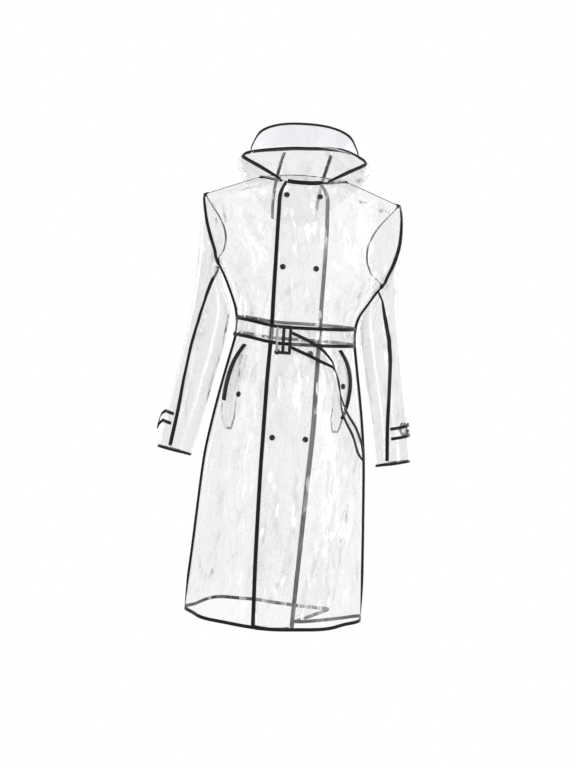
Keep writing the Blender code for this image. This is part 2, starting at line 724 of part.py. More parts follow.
def sleeve_seam_tape(side):
    facets = mesh_tree("sleeve_" + side_name(side))
    lines, normals = [], []
    for station in SLEEVE_SEAM_STATIONS:
        angle = seam_angle(side, station)
        point, normal = sleeve(side, angle, station), sleeve_normal(side, angle, station)
        ahead = sleeve(side, seam_angle(side, station + 0.02), station + 0.02) - point
        across = normal.cross(ahead).normalized() * SEAM_HALF
        extra = (SEAM_LIFT_TOP - SEAM_LIFT) * smooth(1.5 - station, 0.0, 0.5)
        lines.append([p + normal * extra for p in laid_across([facets], point, across, normal)])
        normals.append([normal] * 3)
    ribbon("sleeve_seam_tape_" + side_name(side), lines, normals, SEAM_LIFT)


for side in (1.0, -1.0):
    make_sleeve(side)
    sleeve_seam_tape(side)


# ---------------------------------------------------------------- belt, its end and the buckle
BELT_LIFT = 0.0074               # clears the crests of the gathers and the tapes under it
BELT_THICK = 0.0024              # bound edge of the belt
BELT_TOP, BELT_BOTTOM = -0.352, -0.400
BELT_TAPE = 0.0080
BELT_SECTIONS = 32


def torso_station(angle, face, z):
    low, high = 0.0, float(UNDERARM)
    for _ in range(30):
        middle = 0.5 * (low + high)
        if plain_body(face, angle, middle).z < z:
            low = middle
        else:
            high = middle
    return 0.5 * (low + high)


def belt_point(turn, z, lift):
    """A point of the belt. turn goes round the body from the centre front by the wearer's left."""
    turn = (turn + math.pi) % (2.0 * math.pi) - math.pi
    face = "front" if abs(turn) <= 0.5 * math.pi else "back"
    angle = turn if face == "front" else math.copysign(math.pi, turn) - turn
    point = plain_body(face, angle, torso_station(angle, face, z))
    outward = Vector((point.x, point.y * 1.6, 0.0)).normalized()
    return point + outward * (BELT_LIFT + lift)


def belt_ring(name, top, bottom, low, high, material):
    sections = []
    for k in range(BELT_SECTIONS):
        turn = 2.0 * math.pi * k / BELT_SECTIONS
        sections.append((belt_point(turn, top, low), belt_point(turn, top, high),
                         belt_point(turn, bottom, high), belt_point(turn, bottom, low)))
    sweep(name, sections, material, closed=True)


FILM_INSET = 0.5 * (BELT_THICK - WALL)
belt_ring("belt_tape_upper", BELT_TOP, BELT_TOP - BELT_TAPE, 0.0, BELT_THICK, BINDING)
belt_ring("belt_tape_lower", BELT_BOTTOM + BELT_TAPE, BELT_BOTTOM, 0.0, BELT_THICK, BINDING)
belt_ring("belt", BELT_TOP - BELT_TAPE - SEAM, BELT_BOTTOM + BELT_TAPE + SEAM,
          FILM_INSET, FILM_INSET + WALL, FILM)


def bound_strip(name, upper, lower, tip, out, tape_width):
    """A strip of film with tape along its upper edge, round its end and back along its lower edge.

    upper and lower are matching points of its edges, tip is the end of its middle line and out the
    direction of its face at each pair.
    """
    half = 0.5 * BELT_THICK
    film_outer, film_inner, there, back_again = [], [], [], []
    for a, b, n in zip(upper, lower, out):
        across = (b - a).normalized()
        inset = across * (tape_width + 2.5 * SEAM)
        film_outer.append([a + inset + n * WALL * 0.5, b - inset + n * WALL * 0.5])
        film_inner.append([a + inset - n * WALL * 0.5, b - inset - n * WALL * 0.5])
        there.append((a - n * half, a + n * half,
                      a + across * tape_width + n * half, a + across * tape_width - n * half))
        back_again.append((b - n * half, b + n * half,
                           b - across * tape_width + n * half, b - across * tape_width - n * half))
    middle = 0.5 * (upper[-1] + lower[-1])
    ahead = (tip - middle).normalized()
    n = out[-1]
    inner = tip - ahead * tape_width
    there.append((tip - n * half, tip + n * half, inner + n * half, inner - n * half))
    wall(name, film_outer[:-1], film_inner[:-1], FILM)
    sweep(name + "_tape", there + list(reversed(back_again)), BINDING)


# The loose end of the belt, from the buckle to its point: its two edges, and how far each stands off the
# front, in millimetres, as it twists.
TAIL_COLUMNS = ("x_upper", "z_upper", "off_upper", "x_lower", "z_lower", "off_lower")
TAIL = (
    (-0.0070, -0.364, 13.0, -0.0070, -0.409, 13.0),
    (0.0200, -0.377, 13.0, 0.0120, -0.418, 13.2),
    (0.0480, -0.391, 13.6, 0.0340, -0.427, 14.4),
    (0.0700, -0.408, 13.4, 0.0600, -0.440, 18.0),
    (0.0905, -0.434, 11.0, 0.0835, -0.451, 28.0),
    (0.1020, -0.468, 9.0, 0.0950, -0.473, 32.0),
    (0.1100, -0.500, 8.0, 0.1010, -0.504, 32.0),
    (0.1220, -0.531, 8.0, 0.1070, -0.545, 26.0),
    (0.1370, -0.561, 8.0, 0.1220, -0.580, 20.0),
    (0.1560, -0.587, 8.0, 0.1440, -0.612, 15.0),
    (0.1690, -0.620, 8.0, 0.1560, -0.643, 12.0),
    (0.1760, -0.645, 8.0, 0.1640, -0.660, 10.0),
)
TAIL_END = (0.1770, -0.677, 9.0)


def make_tail():
    read = {name: column(TAIL, TAIL_COLUMNS, name) for name in TAIL_COLUMNS}
    upper = [on_front(x, z, 0.001 * off)
             for x, z, off in zip(read["x_upper"], read["z_upper"], read["off_upper"])]
    lower = [on_front(x, z, 0.001 * off)
             for x, z, off in zip(read["x_lower"], read["z_lower"], read["off_lower"])]
    middle = [0.5 * (a + b) for a, b in zip(upper, lower)]
    out = []
    for k, (a, b) in enumerate(zip(upper, lower)):
        ahead = middle[min(k + 1, len(middle) - 1)] - middle[max(k - 1, 0)]
        out.append(ahead.cross(b - a).normalized())
    tip = on_front(TAIL_END[0], TAIL_END[1], 0.001 * TAIL_END[2])
    bound_strip("belt_end", upper, lower, tip, out, BELT_TAPE)


make_tail()

BUCKLE_X, BUCKLE_Z = -0.0275, -0.386
BUCKLE_WIDTH, BUCKLE_HEIGHT = 0.037, 0.067
BUCKLE_BAR = 0.0045
BUCKLE_THICK = 0.0040


def make_buckle():
    """A flat frame with a middle bar; the bar on the wearer's right is a loose steel roller."""
    turn = math.asin(BUCKLE_X / 0.146)
    at = belt_point(turn, -0.376, BELT_THICK + 0.5 * BUCKLE_THICK + 0.0026)
    ahead = belt_point(turn + 0.05, -0.376, 0.0) - belt_point(turn - 0.05, -0.376, 0.0)
    along = Vector((ahead.x, ahead.y, 0.0)).normalized()
    out = Vector((along.y, -along.x, 0.0))
    centre = Vector((at.x, at.y, BUCKLE_Z))
    half_w, half_h, bar = 0.5 * BUCKLE_WIDTH, 0.5 * BUCKLE_HEIGHT, BUCKLE_BAR
    slot_left = -half_w + 0.2 * bar
    xs = (-half_w, -half_w + bar, -0.5 * bar, 0.5 * bar, half_w - bar, half_w)
    zs = (-half_h, -half_h + bar, half_h - bar, half_h)
    holes = {(0, 1), (1, 1), (3, 1)}
    vertices, faces = [], []
    for depth in (0.5 * BUCKLE_THICK, -0.5 * BUCKLE_THICK):
        for z in zs:
            for x in xs:
                vertices.append(centre + along * x + Vector((0.0, 0.0, z)) + out * depth)
    wide, layer = len(xs), len(xs) * len(zs)
    cells = [(i, j) for j in range(3) for i in range(5) if (i, j) not in holes]
    for i, j in cells:
        a = j * wide + i
        ring = (a, a + 1, a + 1 + wide, a + wide)
        faces.append(ring)
        faces.append(tuple(layer + v for v in reversed(ring)))
        for (di, dj), (p, q) in (((0, -1), (0, 1)), ((1, 0), (1, 2)), ((0, 1), (2, 3)), ((-1, 0), (3, 0))):
            if (i + di, j + dj) not in cells:
                faces.append((ring[q], ring[p], ring[p] + layer, ring[q] + layer))
    used = sorted({v for face in faces for v in face})
    index = {v: k for k, v in enumerate(used)}
    buckle = finish("buckle", [vertices[v] for v in used], [tuple(index[v] for v in f) for f in faces], BUCKLE)
    bevel = buckle.modifiers.new("rounded edges", "BEVEL")
    bevel.width = 0.0008
    bevel.segments = 1
    sections = []
    radius, sides = 0.0026, 10
    for z in (-half_h + bar + SEAM, half_h - bar - SEAM):
        base = centre + along * (slot_left + radius) + Vector((0.0, 0.0, z))
        sections.append([base + (along * math.cos(2 * math.pi * k / sides)
                                 + out * math.sin(2 * math.pi * k / sides)) * radius for k in range(sides)])
    sweep("buckle_roller", sections, STEEL)


make_buckle()


# ---------------------------------------------------------------- hood and brim
# Sections of one half of the hood, from its front end on the neckline to the middle of the back. Each
# holds six points: on the neckline, where the film first falls, at the bottom of the bag, at the
# bag's back, at its top, and on the rim.
HOOD_COLUMNS = ("neck", "fall", "bottom", "back", "top", "rim")
HOOD = (
    ((0.050, -0.0815, -0.0073), (0.053, -0.082, -0.001), (0.056, -0.082, 0.002), (0.058, -0.080, 0.005),
     (0.059, -0.077, 0.008), (0.058, -0.074, 0.010)),
    ((0.086, -0.0530, 0.0007), (0.094, -0.054, 0.0055), (0.101, -0.053, 0.009), (0.107, -0.050, 0.014),
     (0.109, -0.046, 0.019), (0.106, -0.041, 0.024)),
    ((0.1055, 0.000, 0.0033), (0.124, 0.004, 0.0055), (0.144, 0.012, 0.008), (0.157, 0.016, 0.020),
     (0.158, 0.010, 0.034), (0.149, -0.002, 0.045)),
    ((0.0940, 0.0395, 0.0067), (0.112, 0.060, -0.002), (0.133, 0.086, -0.028), (0.156, 0.088, 0.006),
     (0.156, 0.060, 0.042), (0.131, 0.030, 0.063)),
    ((0.0480, 0.0730, 0.0096), (0.053, 0.105, -0.030), (0.053, 0.142, -0.103), (0.056, 0.180, -0.030),
     (0.058, 0.135, 0.050), (0.056, 0.062, 0.077)),
    ((0.0000, 0.0800, 0.0115), (0.000, 0.112, -0.035), (0.000, 0.154, -0.124), (0.000, 0.192, -0.035),
     (0.000, 0.146, 0.053), (0.000, 0.070, 0.080)),
)
HOOD_SEAM = 4.0                   # section that carries the hood's seam
HOOD_SEAM_FROM = 2.2              # its tape starts over the bottom of the bag
HOOD_SEAM_LIFT = 0.0016
HOOD_SEAM_GAP = 0.012             # each panel stops this share of a section short of the seam
HOOD_MIDDLE = 5.0
BAG_SHIFT = {"neck": 0.0, "fall": -0.012, "bottom": -0.027, "back": -0.024, "top": -0.008, "rim": 0.0}


def hood(side, across, up):
    """across runs from 0 at the front end to HOOD_MIDDLE, up from 0 on the neckline to 5 on the rim."""
    rails = []
    for index, name in enumerate(HOOD_COLUMNS):
        point = curve([Vector(part[index]) for part in HOOD], across)
        shift = BAG_SHIFT[name] * smooth(across, 2.0, 4.0)
        rails.append(Vector((side * point.x + shift, point.y, point.z)))
    return curve(rails, up)


def hood_normal(side, across, up):
    a = hood(side, min(HOOD_MIDDLE, across + 0.05), up) - hood(side, max(0.0, across - 0.05), up)
    b = hood(side, across, min(5.0, up + 0.05)) - hood(side, across, max(0.0, up - 0.05))
    return (a.cross(b) * side).normalized()


RIM_BAND = 4.75                   # where the tape folded round the rim ends
HOOD_UPS = [0.0, 0.45, 0.9, 1.35, 1.8, 2.2, 2.6, 3.0, 3.45, 3.9, 4.35, RIM_BAND, 5.0]
SIDE_ACROSS = [0.0, 0.5, 1.0, 1.5, 2.0, 2.5, 3.0, 3.5, HOOD_SEAM - HOOD_SEAM_GAP]


def hood_wall(name, columns):
    outer = [[hood(side, across, up) for side, across in columns] for up in HOOD_UPS]
    inner = [[hood(side, across, up) - hood_normal(side, across, up) * WALL for side, across in columns]
             for up in HOOD_UPS]
    wall(name, outer, inner, FILM)


for side in (1.0, -1.0):
    hood_wall("hood_side_" + side_name(side), [(side, across) for across in SIDE_ACROSS])
hood_wall("hood_centre", [(1.0, HOOD_SEAM + HOOD_SEAM_GAP), (1.0, 4.35), (1.0, 4.7), (1.0, HOOD_MIDDLE),
                          (-1.0, 4.7), (-1.0, 4.35), (-1.0, HOOD_SEAM + HOOD_SEAM_GAP)])


def hood_tapes():
    """Tapes over the two hood seams, and one folded round the rim from end to end."""
    for side in (1.0, -1.0):
        panels = [mesh_tree("hood_centre"), mesh_tree("hood_side_" + side_name(side))]
        lines, normals = [], []
        for up in [u for u in HOOD_UPS if HOOD_SEAM_FROM <= u < RIM_BAND]:
            point, normal = hood(side, HOOD_SEAM, up), hood_normal(side, HOOD_SEAM, up)
            ahead = hood(side, HOOD_SEAM, up + 0.05) - hood(side, HOOD_SEAM, up - 0.05)
            across = normal.cross(ahead).normalized() * SEAM_HALF
            lines.append(laid_across(panels, point, across, normal))
            normals.append([normal] * 3)
        ribbon("hood_seam_tape_" + side_name(side), lines, normals, HOOD_SEAM_LIFT)
    half = [0.0, 0.5, 1.0, 1.5, 2.0, 2.5, 3.0, 3.5, HOOD_SEAM, 4.35, 4.7]
    path = [(1.0, across) for across in half] + [(1.0, HOOD_MIDDLE)]
    path += [(-1.0, across) for across in reversed(half)]
    edge = [hood(side, across, 5.0) for side, across in path]
    edge_n = [hood_normal(side, across, 5.0) for side, across in path]
    band = [hood(side, across, RIM_BAND) for side, across in path]
    band_n = [hood_normal(side, across, RIM_BAND) for side, across in path]
    channel("hood_opening_tape", edge, edge_n, band, band_n, WIDE_FOLD)


hood_tapes()

BRIM_FROM = 3.0                   # hood section where the brim starts
BRIM_HALF_WIDTH = 0.134
BRIM_BASE_Z, BRIM_RISE = 0.066, 0.074
BRIM_BASE_Y, BRIM_LEAN = 0.030, 0.058
BRIM_ROUND = 2.0 / 2.4            # a little squarer than a half ellipse
BRIM_TURN = 80.0                  # degrees each way that its edge turns through
BRIM_COLUMNS = 14
BRIM_SEAT = Vector((0.0, -0.0008, 0.0034))


def brim(share, up):
    """share runs from -1 at the wearer's right end to 1 at the left end, up from the seam to the edge."""
    side = 1.0 if share >= 0.0 else -1.0
    root = hood(side, HOOD_MIDDLE - (HOOD_MIDDLE - BRIM_FROM) * abs(share), 5.0) + BRIM_SEAT
    turn = math.radians(BRIM_TURN) * share
    edge = Vector((side * BRIM_HALF_WIDTH * abs(math.sin(turn)) ** BRIM_ROUND,
                   BRIM_BASE_Y + BRIM_LEAN * math.cos(turn),
                   BRIM_BASE_Z + BRIM_RISE * math.cos(turn) ** BRIM_ROUND))
    return root.lerp(edge, up)


def brim_normal(share, up):
    across = brim(min(1.0, share + 0.03), up) - brim(max(-1.0, share - 0.03), up)
    along = brim(share, 1.0) - brim(share, 0.0)
    return across.cross(along).normalized()


def make_brim():
    shares = [2.0 * k / BRIM_COLUMNS - 1.0 for k in range(BRIM_COLUMNS + 1)]
    ups = (0.0, 0.4, 0.8, 1.0)
    outer = [[brim(share, up) for share in shares] for up in ups]
    inner = [[brim(share, up) - brim_normal(share, up) * WALL for share in shares] for up in ups]
    wall("brim", outer, inner, FILM)
    edge, band, normals = [], [], []
    for share in shares:
        height = (brim(share, 1.0) - brim(share, 0.0)).length
        edge.append(brim(share, 1.0))
        band.append(brim(share, 1.0 - min(0.6, TAPE_WIDTH / height)))
        normals.append(brim_normal(share, 0.9))
    channel("brim_edge_tape", edge, normals, band, normals)


make_brim()


# ---------------------------------------------------------------- pockets
class Panel:
    """The facets of a finished panel, to lay flat pieces on."""

    def __init__(self, name):
        self.tree = mesh_tree(name)

    def at(self, x, z, lift):
        """The point of the outer face at x and z, moved out."""
        point = self.tree.ray_cast(Vector((x, -1.0, z)), Vector((0.0, 1.0, 0.0)))[0]
        station = station_at(x, z)
        return point + body_normal("front", angle_at_x(x, station), station) * lift


FLAP_LIFT = 0.0022
BAG_LIFT = -WALL - 0.0010
FLAP_COLUMNS = ("x_inner", "z_inner", "x_outer", "z_outer")
FLAPS = {
    "right": ((-0.100, -0.409, -0.1200, -0.4055), (-0.118, -0.440, -0.1395, -0.438),
              (-0.132, -0.480, -0.1530, -0.478), (-0.141, -0.515, -0.1600, -0.515),
              (-0.144, -0.548, -0.1630, -0.545)),
    "left": ((0.094, -0.410, 0.1135, -0.4055), (0.104, -0.440, 0.1330, -0.438),
             (0.110, -0.485, 0.1440, -0.482), (0.112, -0.530, 0.1400, -0.532),
             (0.108, -0.566, 0.1280, -0.572)),
}
BAG_COLUMNS = ("x", "z", "half")
BAGS = {
    "right": ((-0.126, -0.430, 0.014), (-0.140, -0.480, 0.018), (-0.149, -0.530, 0.019),
              (-0.151, -0.580, 0.018), (-0.149, -0.612, 0.008)),
    "left": ((0.116, -0.430, 0.014), (0.121, -0.480, 0.018), (0.119, -0.530, 0.018),
             (0.114, -0.575, 0.016), (0.112, -0.604, 0.008)),
}
POCKET_STEPS = 7


def make_pocket(name, panel):
    read = {key: column(FLAPS[name], FLAP_COLUMNS, key) for key in FLAP_COLUMNS}
    last = len(FLAPS[name]) - 1
    film_outer, film_inner, tape = [], [], []
    for k in range(POCKET_STEPS + 1):
        t = last * k / POCKET_STEPS
        inner = Vector((curve(read["x_inner"], t), 0.0, curve(read["z_inner"], t)))
        outer = Vector((curve(read["x_outer"], t), 0.0, curve(read["z_outer"], t)))
        reach = (outer - inner).length
        inset = (TAPE_WIDTH - 0.001) / reach
        gap = SEAM / reach
        film = [inner.lerp(outer, share * (1.0 - inset - gap)) for share in (0.0, 0.5, 1.0)]
        film_outer.append([panel.at(p.x, p.z, FLAP_LIFT + WALL) for p in film])
        film_inner.append([panel.at(p.x, p.z, FLAP_LIFT) for p in film])
        ends = [inner.lerp(outer, 1.0 - inset), outer]
        tape.append([panel.at(p.x, p.z, FLAP_LIFT) for p in ends]
                    + [panel.at(p.x, p.z, FLAP_LIFT + BELT_THICK) for p in reversed(ends)])
    wall("pocket_flap_" + name, film_outer, film_inner, FILM)
    sweep("pocket_flap_tape_" + name, tape, BINDING)

    read = {key: column(BAGS[name], BAG_COLUMNS, key) for key in BAG_COLUMNS}
    bag_outer, bag_inner = [], []
    for k in range(POCKET_STEPS + 1):
        t = last * k / POCKET_STEPS
        x, z, half = (curve(read[key], t) for key in BAG_COLUMNS)
        places = [x - half, x, x + half]
        bag_outer.append([panel.at(place, z, BAG_LIFT) for place in places])
        bag_inner.append([panel.at(place, z, BAG_LIFT - WALL - 0.002 * (place == x)) for place in places])
    wall("pocket_bag_" + name, bag_outer, bag_inner, FILM)


PANELS = {"left": Panel("front_outer"), "right": Panel("front_under")}
for name in ("left", "right"):
    make_pocket(name, PANELS[name])


# ---------------------------------------------------------------- cuff straps
STRAP_UPPER, STRAP_LOWER = 4.13, 4.44      # sleeve stations of the strap's two edges
STRAP_LIFT = 0.0021
STRAP_TAPE = 0.0075
CLOSED_STRAP = (93.0, 78.0, 62.0, 46.0, 30.0, 14.0, -2.0, -18.0, -34.0, -50.0)    # sleeve angles
OPEN_STRAP = (56.0, 44.0, 32.0, 20.0, 8.0)
# The open strap leaves the sleeve and hangs: how far out and down each further section is.
OPEN_STRAP_END = ((0.006, 0.004), (0.011, 0.011), (0.014, 0.020))


def strap_pair(side, degrees):
    angle = math.radians(degrees)
    pair = []
    for station in (STRAP_UPPER, STRAP_LOWER):
        pair.append(sleeve(side, angle, station) + sleeve_normal(side, angle, station) * STRAP_LIFT)
    return pair + [sleeve_normal(side, angle, STRAP_UPPER)]


closed = [strap_pair(1.0, degrees) for degrees in CLOSED_STRAP]
end_pair = strap_pair(1.0, CLOSED_STRAP[-1] - 9.0)
bound_strip("cuff_strap_left", [c[0] for c in closed], [c[1] for c in closed],
            0.5 * (end_pair[0] + end_pair[1]), [c[2] for c in closed], STRAP_TAPE)

opened = [strap_pair(-1.0, degrees) for degrees in OPEN_STRAP]
upper, lower, out = opened[-1]
for outward, down in OPEN_STRAP_END:
    move = Vector((-outward, 0.0, -down))
    opened.append((upper + move, lower + move * 0.9, (out + Vector((0.0, 0.0, down * 30.0))).normalized()))
opened_tip = 0.5 * (opened[-1][0] + opened[-1][1]) + Vector((-0.003, 0.0, -0.009))
bound_strip("cuff_strap_right", [c[0] for c in opened], [c[1] for c in opened],
            opened_tip, [c[2] for c in opened], STRAP_TAPE)


# ---------------------------------------------------------------- snaps
SNAP_RADIUS = 0.0070
SNAP_PROFILE = ((1.0, 0.0), (0.97, 0.0012), (0.62, 0.0024))       # share of the radius, height
SNAP_SIDES = 10
SNAP_ROWS = (-0.040, -0.211, -0.417, -0.622)
SNAP_X = {"right": -0.0405, "left": 0.0390}
SNAP_LIFT = 0.0008                 # a cap's base above the film it is pressed on
FLAP_SNAP_LIFT = 0.0006
CUFF_SNAP_LIFT = 0.0004
CUFF_SNAP_ANGLE = 35.0


def make_snap(name, centre, out):
    beside = out.cross(Vector((0.0, 0.0, 1.0))).normalized()
    above = beside.cross(out)
    sections = []
    for share, height in SNAP_PROFILE:
        ring = []
        for k in range(SNAP_SIDES):
            turn = 2.0 * math.pi * k / SNAP_SIDES
            ring.append(centre + out * height
                        + (beside * math.cos(turn) + above * math.sin(turn)) * SNAP_RADIUS * share)
        sections.append(ring)
    sweep(name, sections, SNAP)


def snap_on_front(name, panel, x, z, lift):
    base = panel.at(x, z, lift)
    beside = panel.at(x + SNAP_RADIUS, z, lift) - panel.at(x - SNAP_RADIUS, z, lift)
    upright = panel.at(x, z + SNAP_RADIUS, lift) - panel.at(x, z - SNAP_RADIUS, lift)
    make_snap(name, base, beside.cross(upright).normalized())


for row, z in enumerate(SNAP_ROWS, start=1):
    for name in ("right", "left"):
        snap_on_front("snap_%s_%d" % (name, row), PANELS["left"], SNAP_X[name], z, SNAP_LIFT)
snap_on_front("snap_pocket_right", PANELS["right"], -0.1265, -0.526, SNAP_LIFT)
snap_on_front("snap_pocket_left", PANELS["left"], 0.1215, -0.493, FLAP_LIFT + WALL + FLAP_SNAP_LIFT)
cuff_angle = math.radians(CUFF_SNAP_ANGLE)
cuff_station = 0.5 * (STRAP_UPPER + STRAP_LOWER)
cuff_out = sleeve_normal(1.0, cuff_angle, cuff_station)
make_snap("snap_cuff_left",
          sleeve(1.0, cuff_angle, cuff_station) + cuff_out * (STRAP_LIFT + 0.5 * WALL + CUFF_SNAP_LIFT), cuff_out)
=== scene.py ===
"""Clear hooded raincoat, filled out as worn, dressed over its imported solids."""
import bpy
import bmesh
import math
import numpy as np
from mathutils import Matrix, Quaternion, Vector
from mathutils.bvhtree import BVHTree
from mathutils.kdtree import KDTree


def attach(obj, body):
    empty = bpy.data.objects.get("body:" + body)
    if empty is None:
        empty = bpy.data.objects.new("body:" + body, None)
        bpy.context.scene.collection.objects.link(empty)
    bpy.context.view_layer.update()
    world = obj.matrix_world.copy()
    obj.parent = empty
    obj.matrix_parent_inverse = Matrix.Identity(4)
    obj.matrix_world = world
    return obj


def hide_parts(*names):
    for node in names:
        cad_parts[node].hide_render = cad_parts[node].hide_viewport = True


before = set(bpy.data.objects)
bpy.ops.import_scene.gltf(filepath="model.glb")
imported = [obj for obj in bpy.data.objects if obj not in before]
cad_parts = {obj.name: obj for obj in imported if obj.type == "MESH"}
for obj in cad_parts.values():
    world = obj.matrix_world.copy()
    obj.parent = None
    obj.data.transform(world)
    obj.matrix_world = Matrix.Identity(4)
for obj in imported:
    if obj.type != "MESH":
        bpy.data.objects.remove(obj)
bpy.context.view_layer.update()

bpy.ops.object.select_all(action="DESELECT")


# ---------------------------------------------------------------- camera and studio
# A white studio: a pale floor, a tall strip light on each side of the front and of the back, and a broad
# soft light overhead. The film shows by what it reflects, so the strips are narrow and bright.
def linear(hex_colour):
    """sRGB hex to linear RGBA."""
    values = [int(hex_colour[i:i + 2], 16) / 255.0 for i in (0, 2, 4)]
    return tuple(v / 12.92 if v <= 0.04045 else ((v + 0.055) / 1.055) ** 2.4 for v in values) + (1.0,)


def add_node(tree, kind, settings=None, inputs=None):
    """Adds a node with its settings. An input is a socket to link from, or a value."""
    made = tree.nodes.new(kind)
    for key, value in (settings or {}).items():
        setattr(made, key, value)
    for key, value in (inputs or {}).items():
        if isinstance(value, bpy.types.NodeSocket):
            tree.links.new(value, made.inputs[key])
        else:
            made.inputs[key].default_value = value
    return made


def new_material(name):
    material = bpy.data.materials.new(name)
    material.use_nodes = True
    material.node_tree.nodes.clear()
    return material, material.node_tree


eye = Vector((-0.186, -5.60, -0.070))
aim = Vector((-0.0106, -0.119, -0.491))
lean = math.radians(3.55)
turn = (aim - eye).to_track_quat("-Z", "Y") @ Quaternion((0.0, 0.0, 1.0), lean)
bpy.ops.object.camera_add(location=eye, rotation=turn.to_euler())
camera = bpy.context.object
camera.data.lens = 107.5
camera.data.clip_end = 60.0
bpy.context.scene.camera = camera


def strip_light(place, target, width, height, radiance, colour="FFFFFF"):
    bpy.ops.object.light_add(type="AREA", location=place)
    light = bpy.context.object
    light.rotation_euler = (Vector(target) - Vector(place)).to_track_quat("-Z", "Y").to_euler()
    light.data.shape = "RECTANGLE"
    light.data.size, light.data.size_y = width, height
    light.data.energy = radiance * math.pi * width * height
    light.data.color = linear(colour)[:3]
    light.visible_camera = False


for front in (-1.0, 1.0):
    for side, radiance, colour in ((-1.0, 6.0, "FFFFFF"), (1.0, 17.0, "FFF9EE")):
        strip_light((side * 2.3, front * 2.4, 0.2), (0.0, 0.0, -0.5), 0.45, 2.4, radiance, colour)
strip_light((0.0, 0.0, 2.6), (0.0, 0.0, 0.0), 2.6, 2.0, 3.0)

world = bpy.data.worlds.new("white_studio")
bpy.context.scene.world = world
world.use_nodes = True
world.node_tree.nodes.clear()
seen = add_node(world.node_tree, "ShaderNodeLightPath")
white = add_node(world.node_tree, "ShaderNodeBackground", inputs={"Color": linear("FFFFFF"), "Strength": 1.0})
grey = add_node(world.node_tree, "ShaderNodeBackground", inputs={"Color": linear("E8E9EC"), "Strength": 0.95})
both = add_node(world.node_tree, "ShaderNodeMixShader",
                inputs={0: seen.outputs["Is Camera Ray"], 1: grey.outputs[0], 2: white.outputs[0]})
add_node(world.node_tree, "ShaderNodeOutputWorld", inputs={"Surface": both.outputs[0]})

bpy.ops.mesh.primitive_plane_add(size=16.0, location=(0.0, 0.0, -1.45))
floor = bpy.context.object
floor.name = "studio_floor"
floor_paint, tree = new_material("matt_white_floor_paint")
even_white = add_node(tree, "ShaderNodeEmission", inputs={"Color": linear("FFFFFF"), "Strength": 1.0})
add_node(tree, "ShaderNodeOutputMaterial", inputs={"Surface": even_white.outputs[0]})
floor.data.materials.append(floor_paint)
bpy.context.scene.view_settings.view_transform = "Standard"
bpy.context.scene.cycles.transparent_max_bounces = 40
bpy.context.scene.cycles.max_bounces = 8


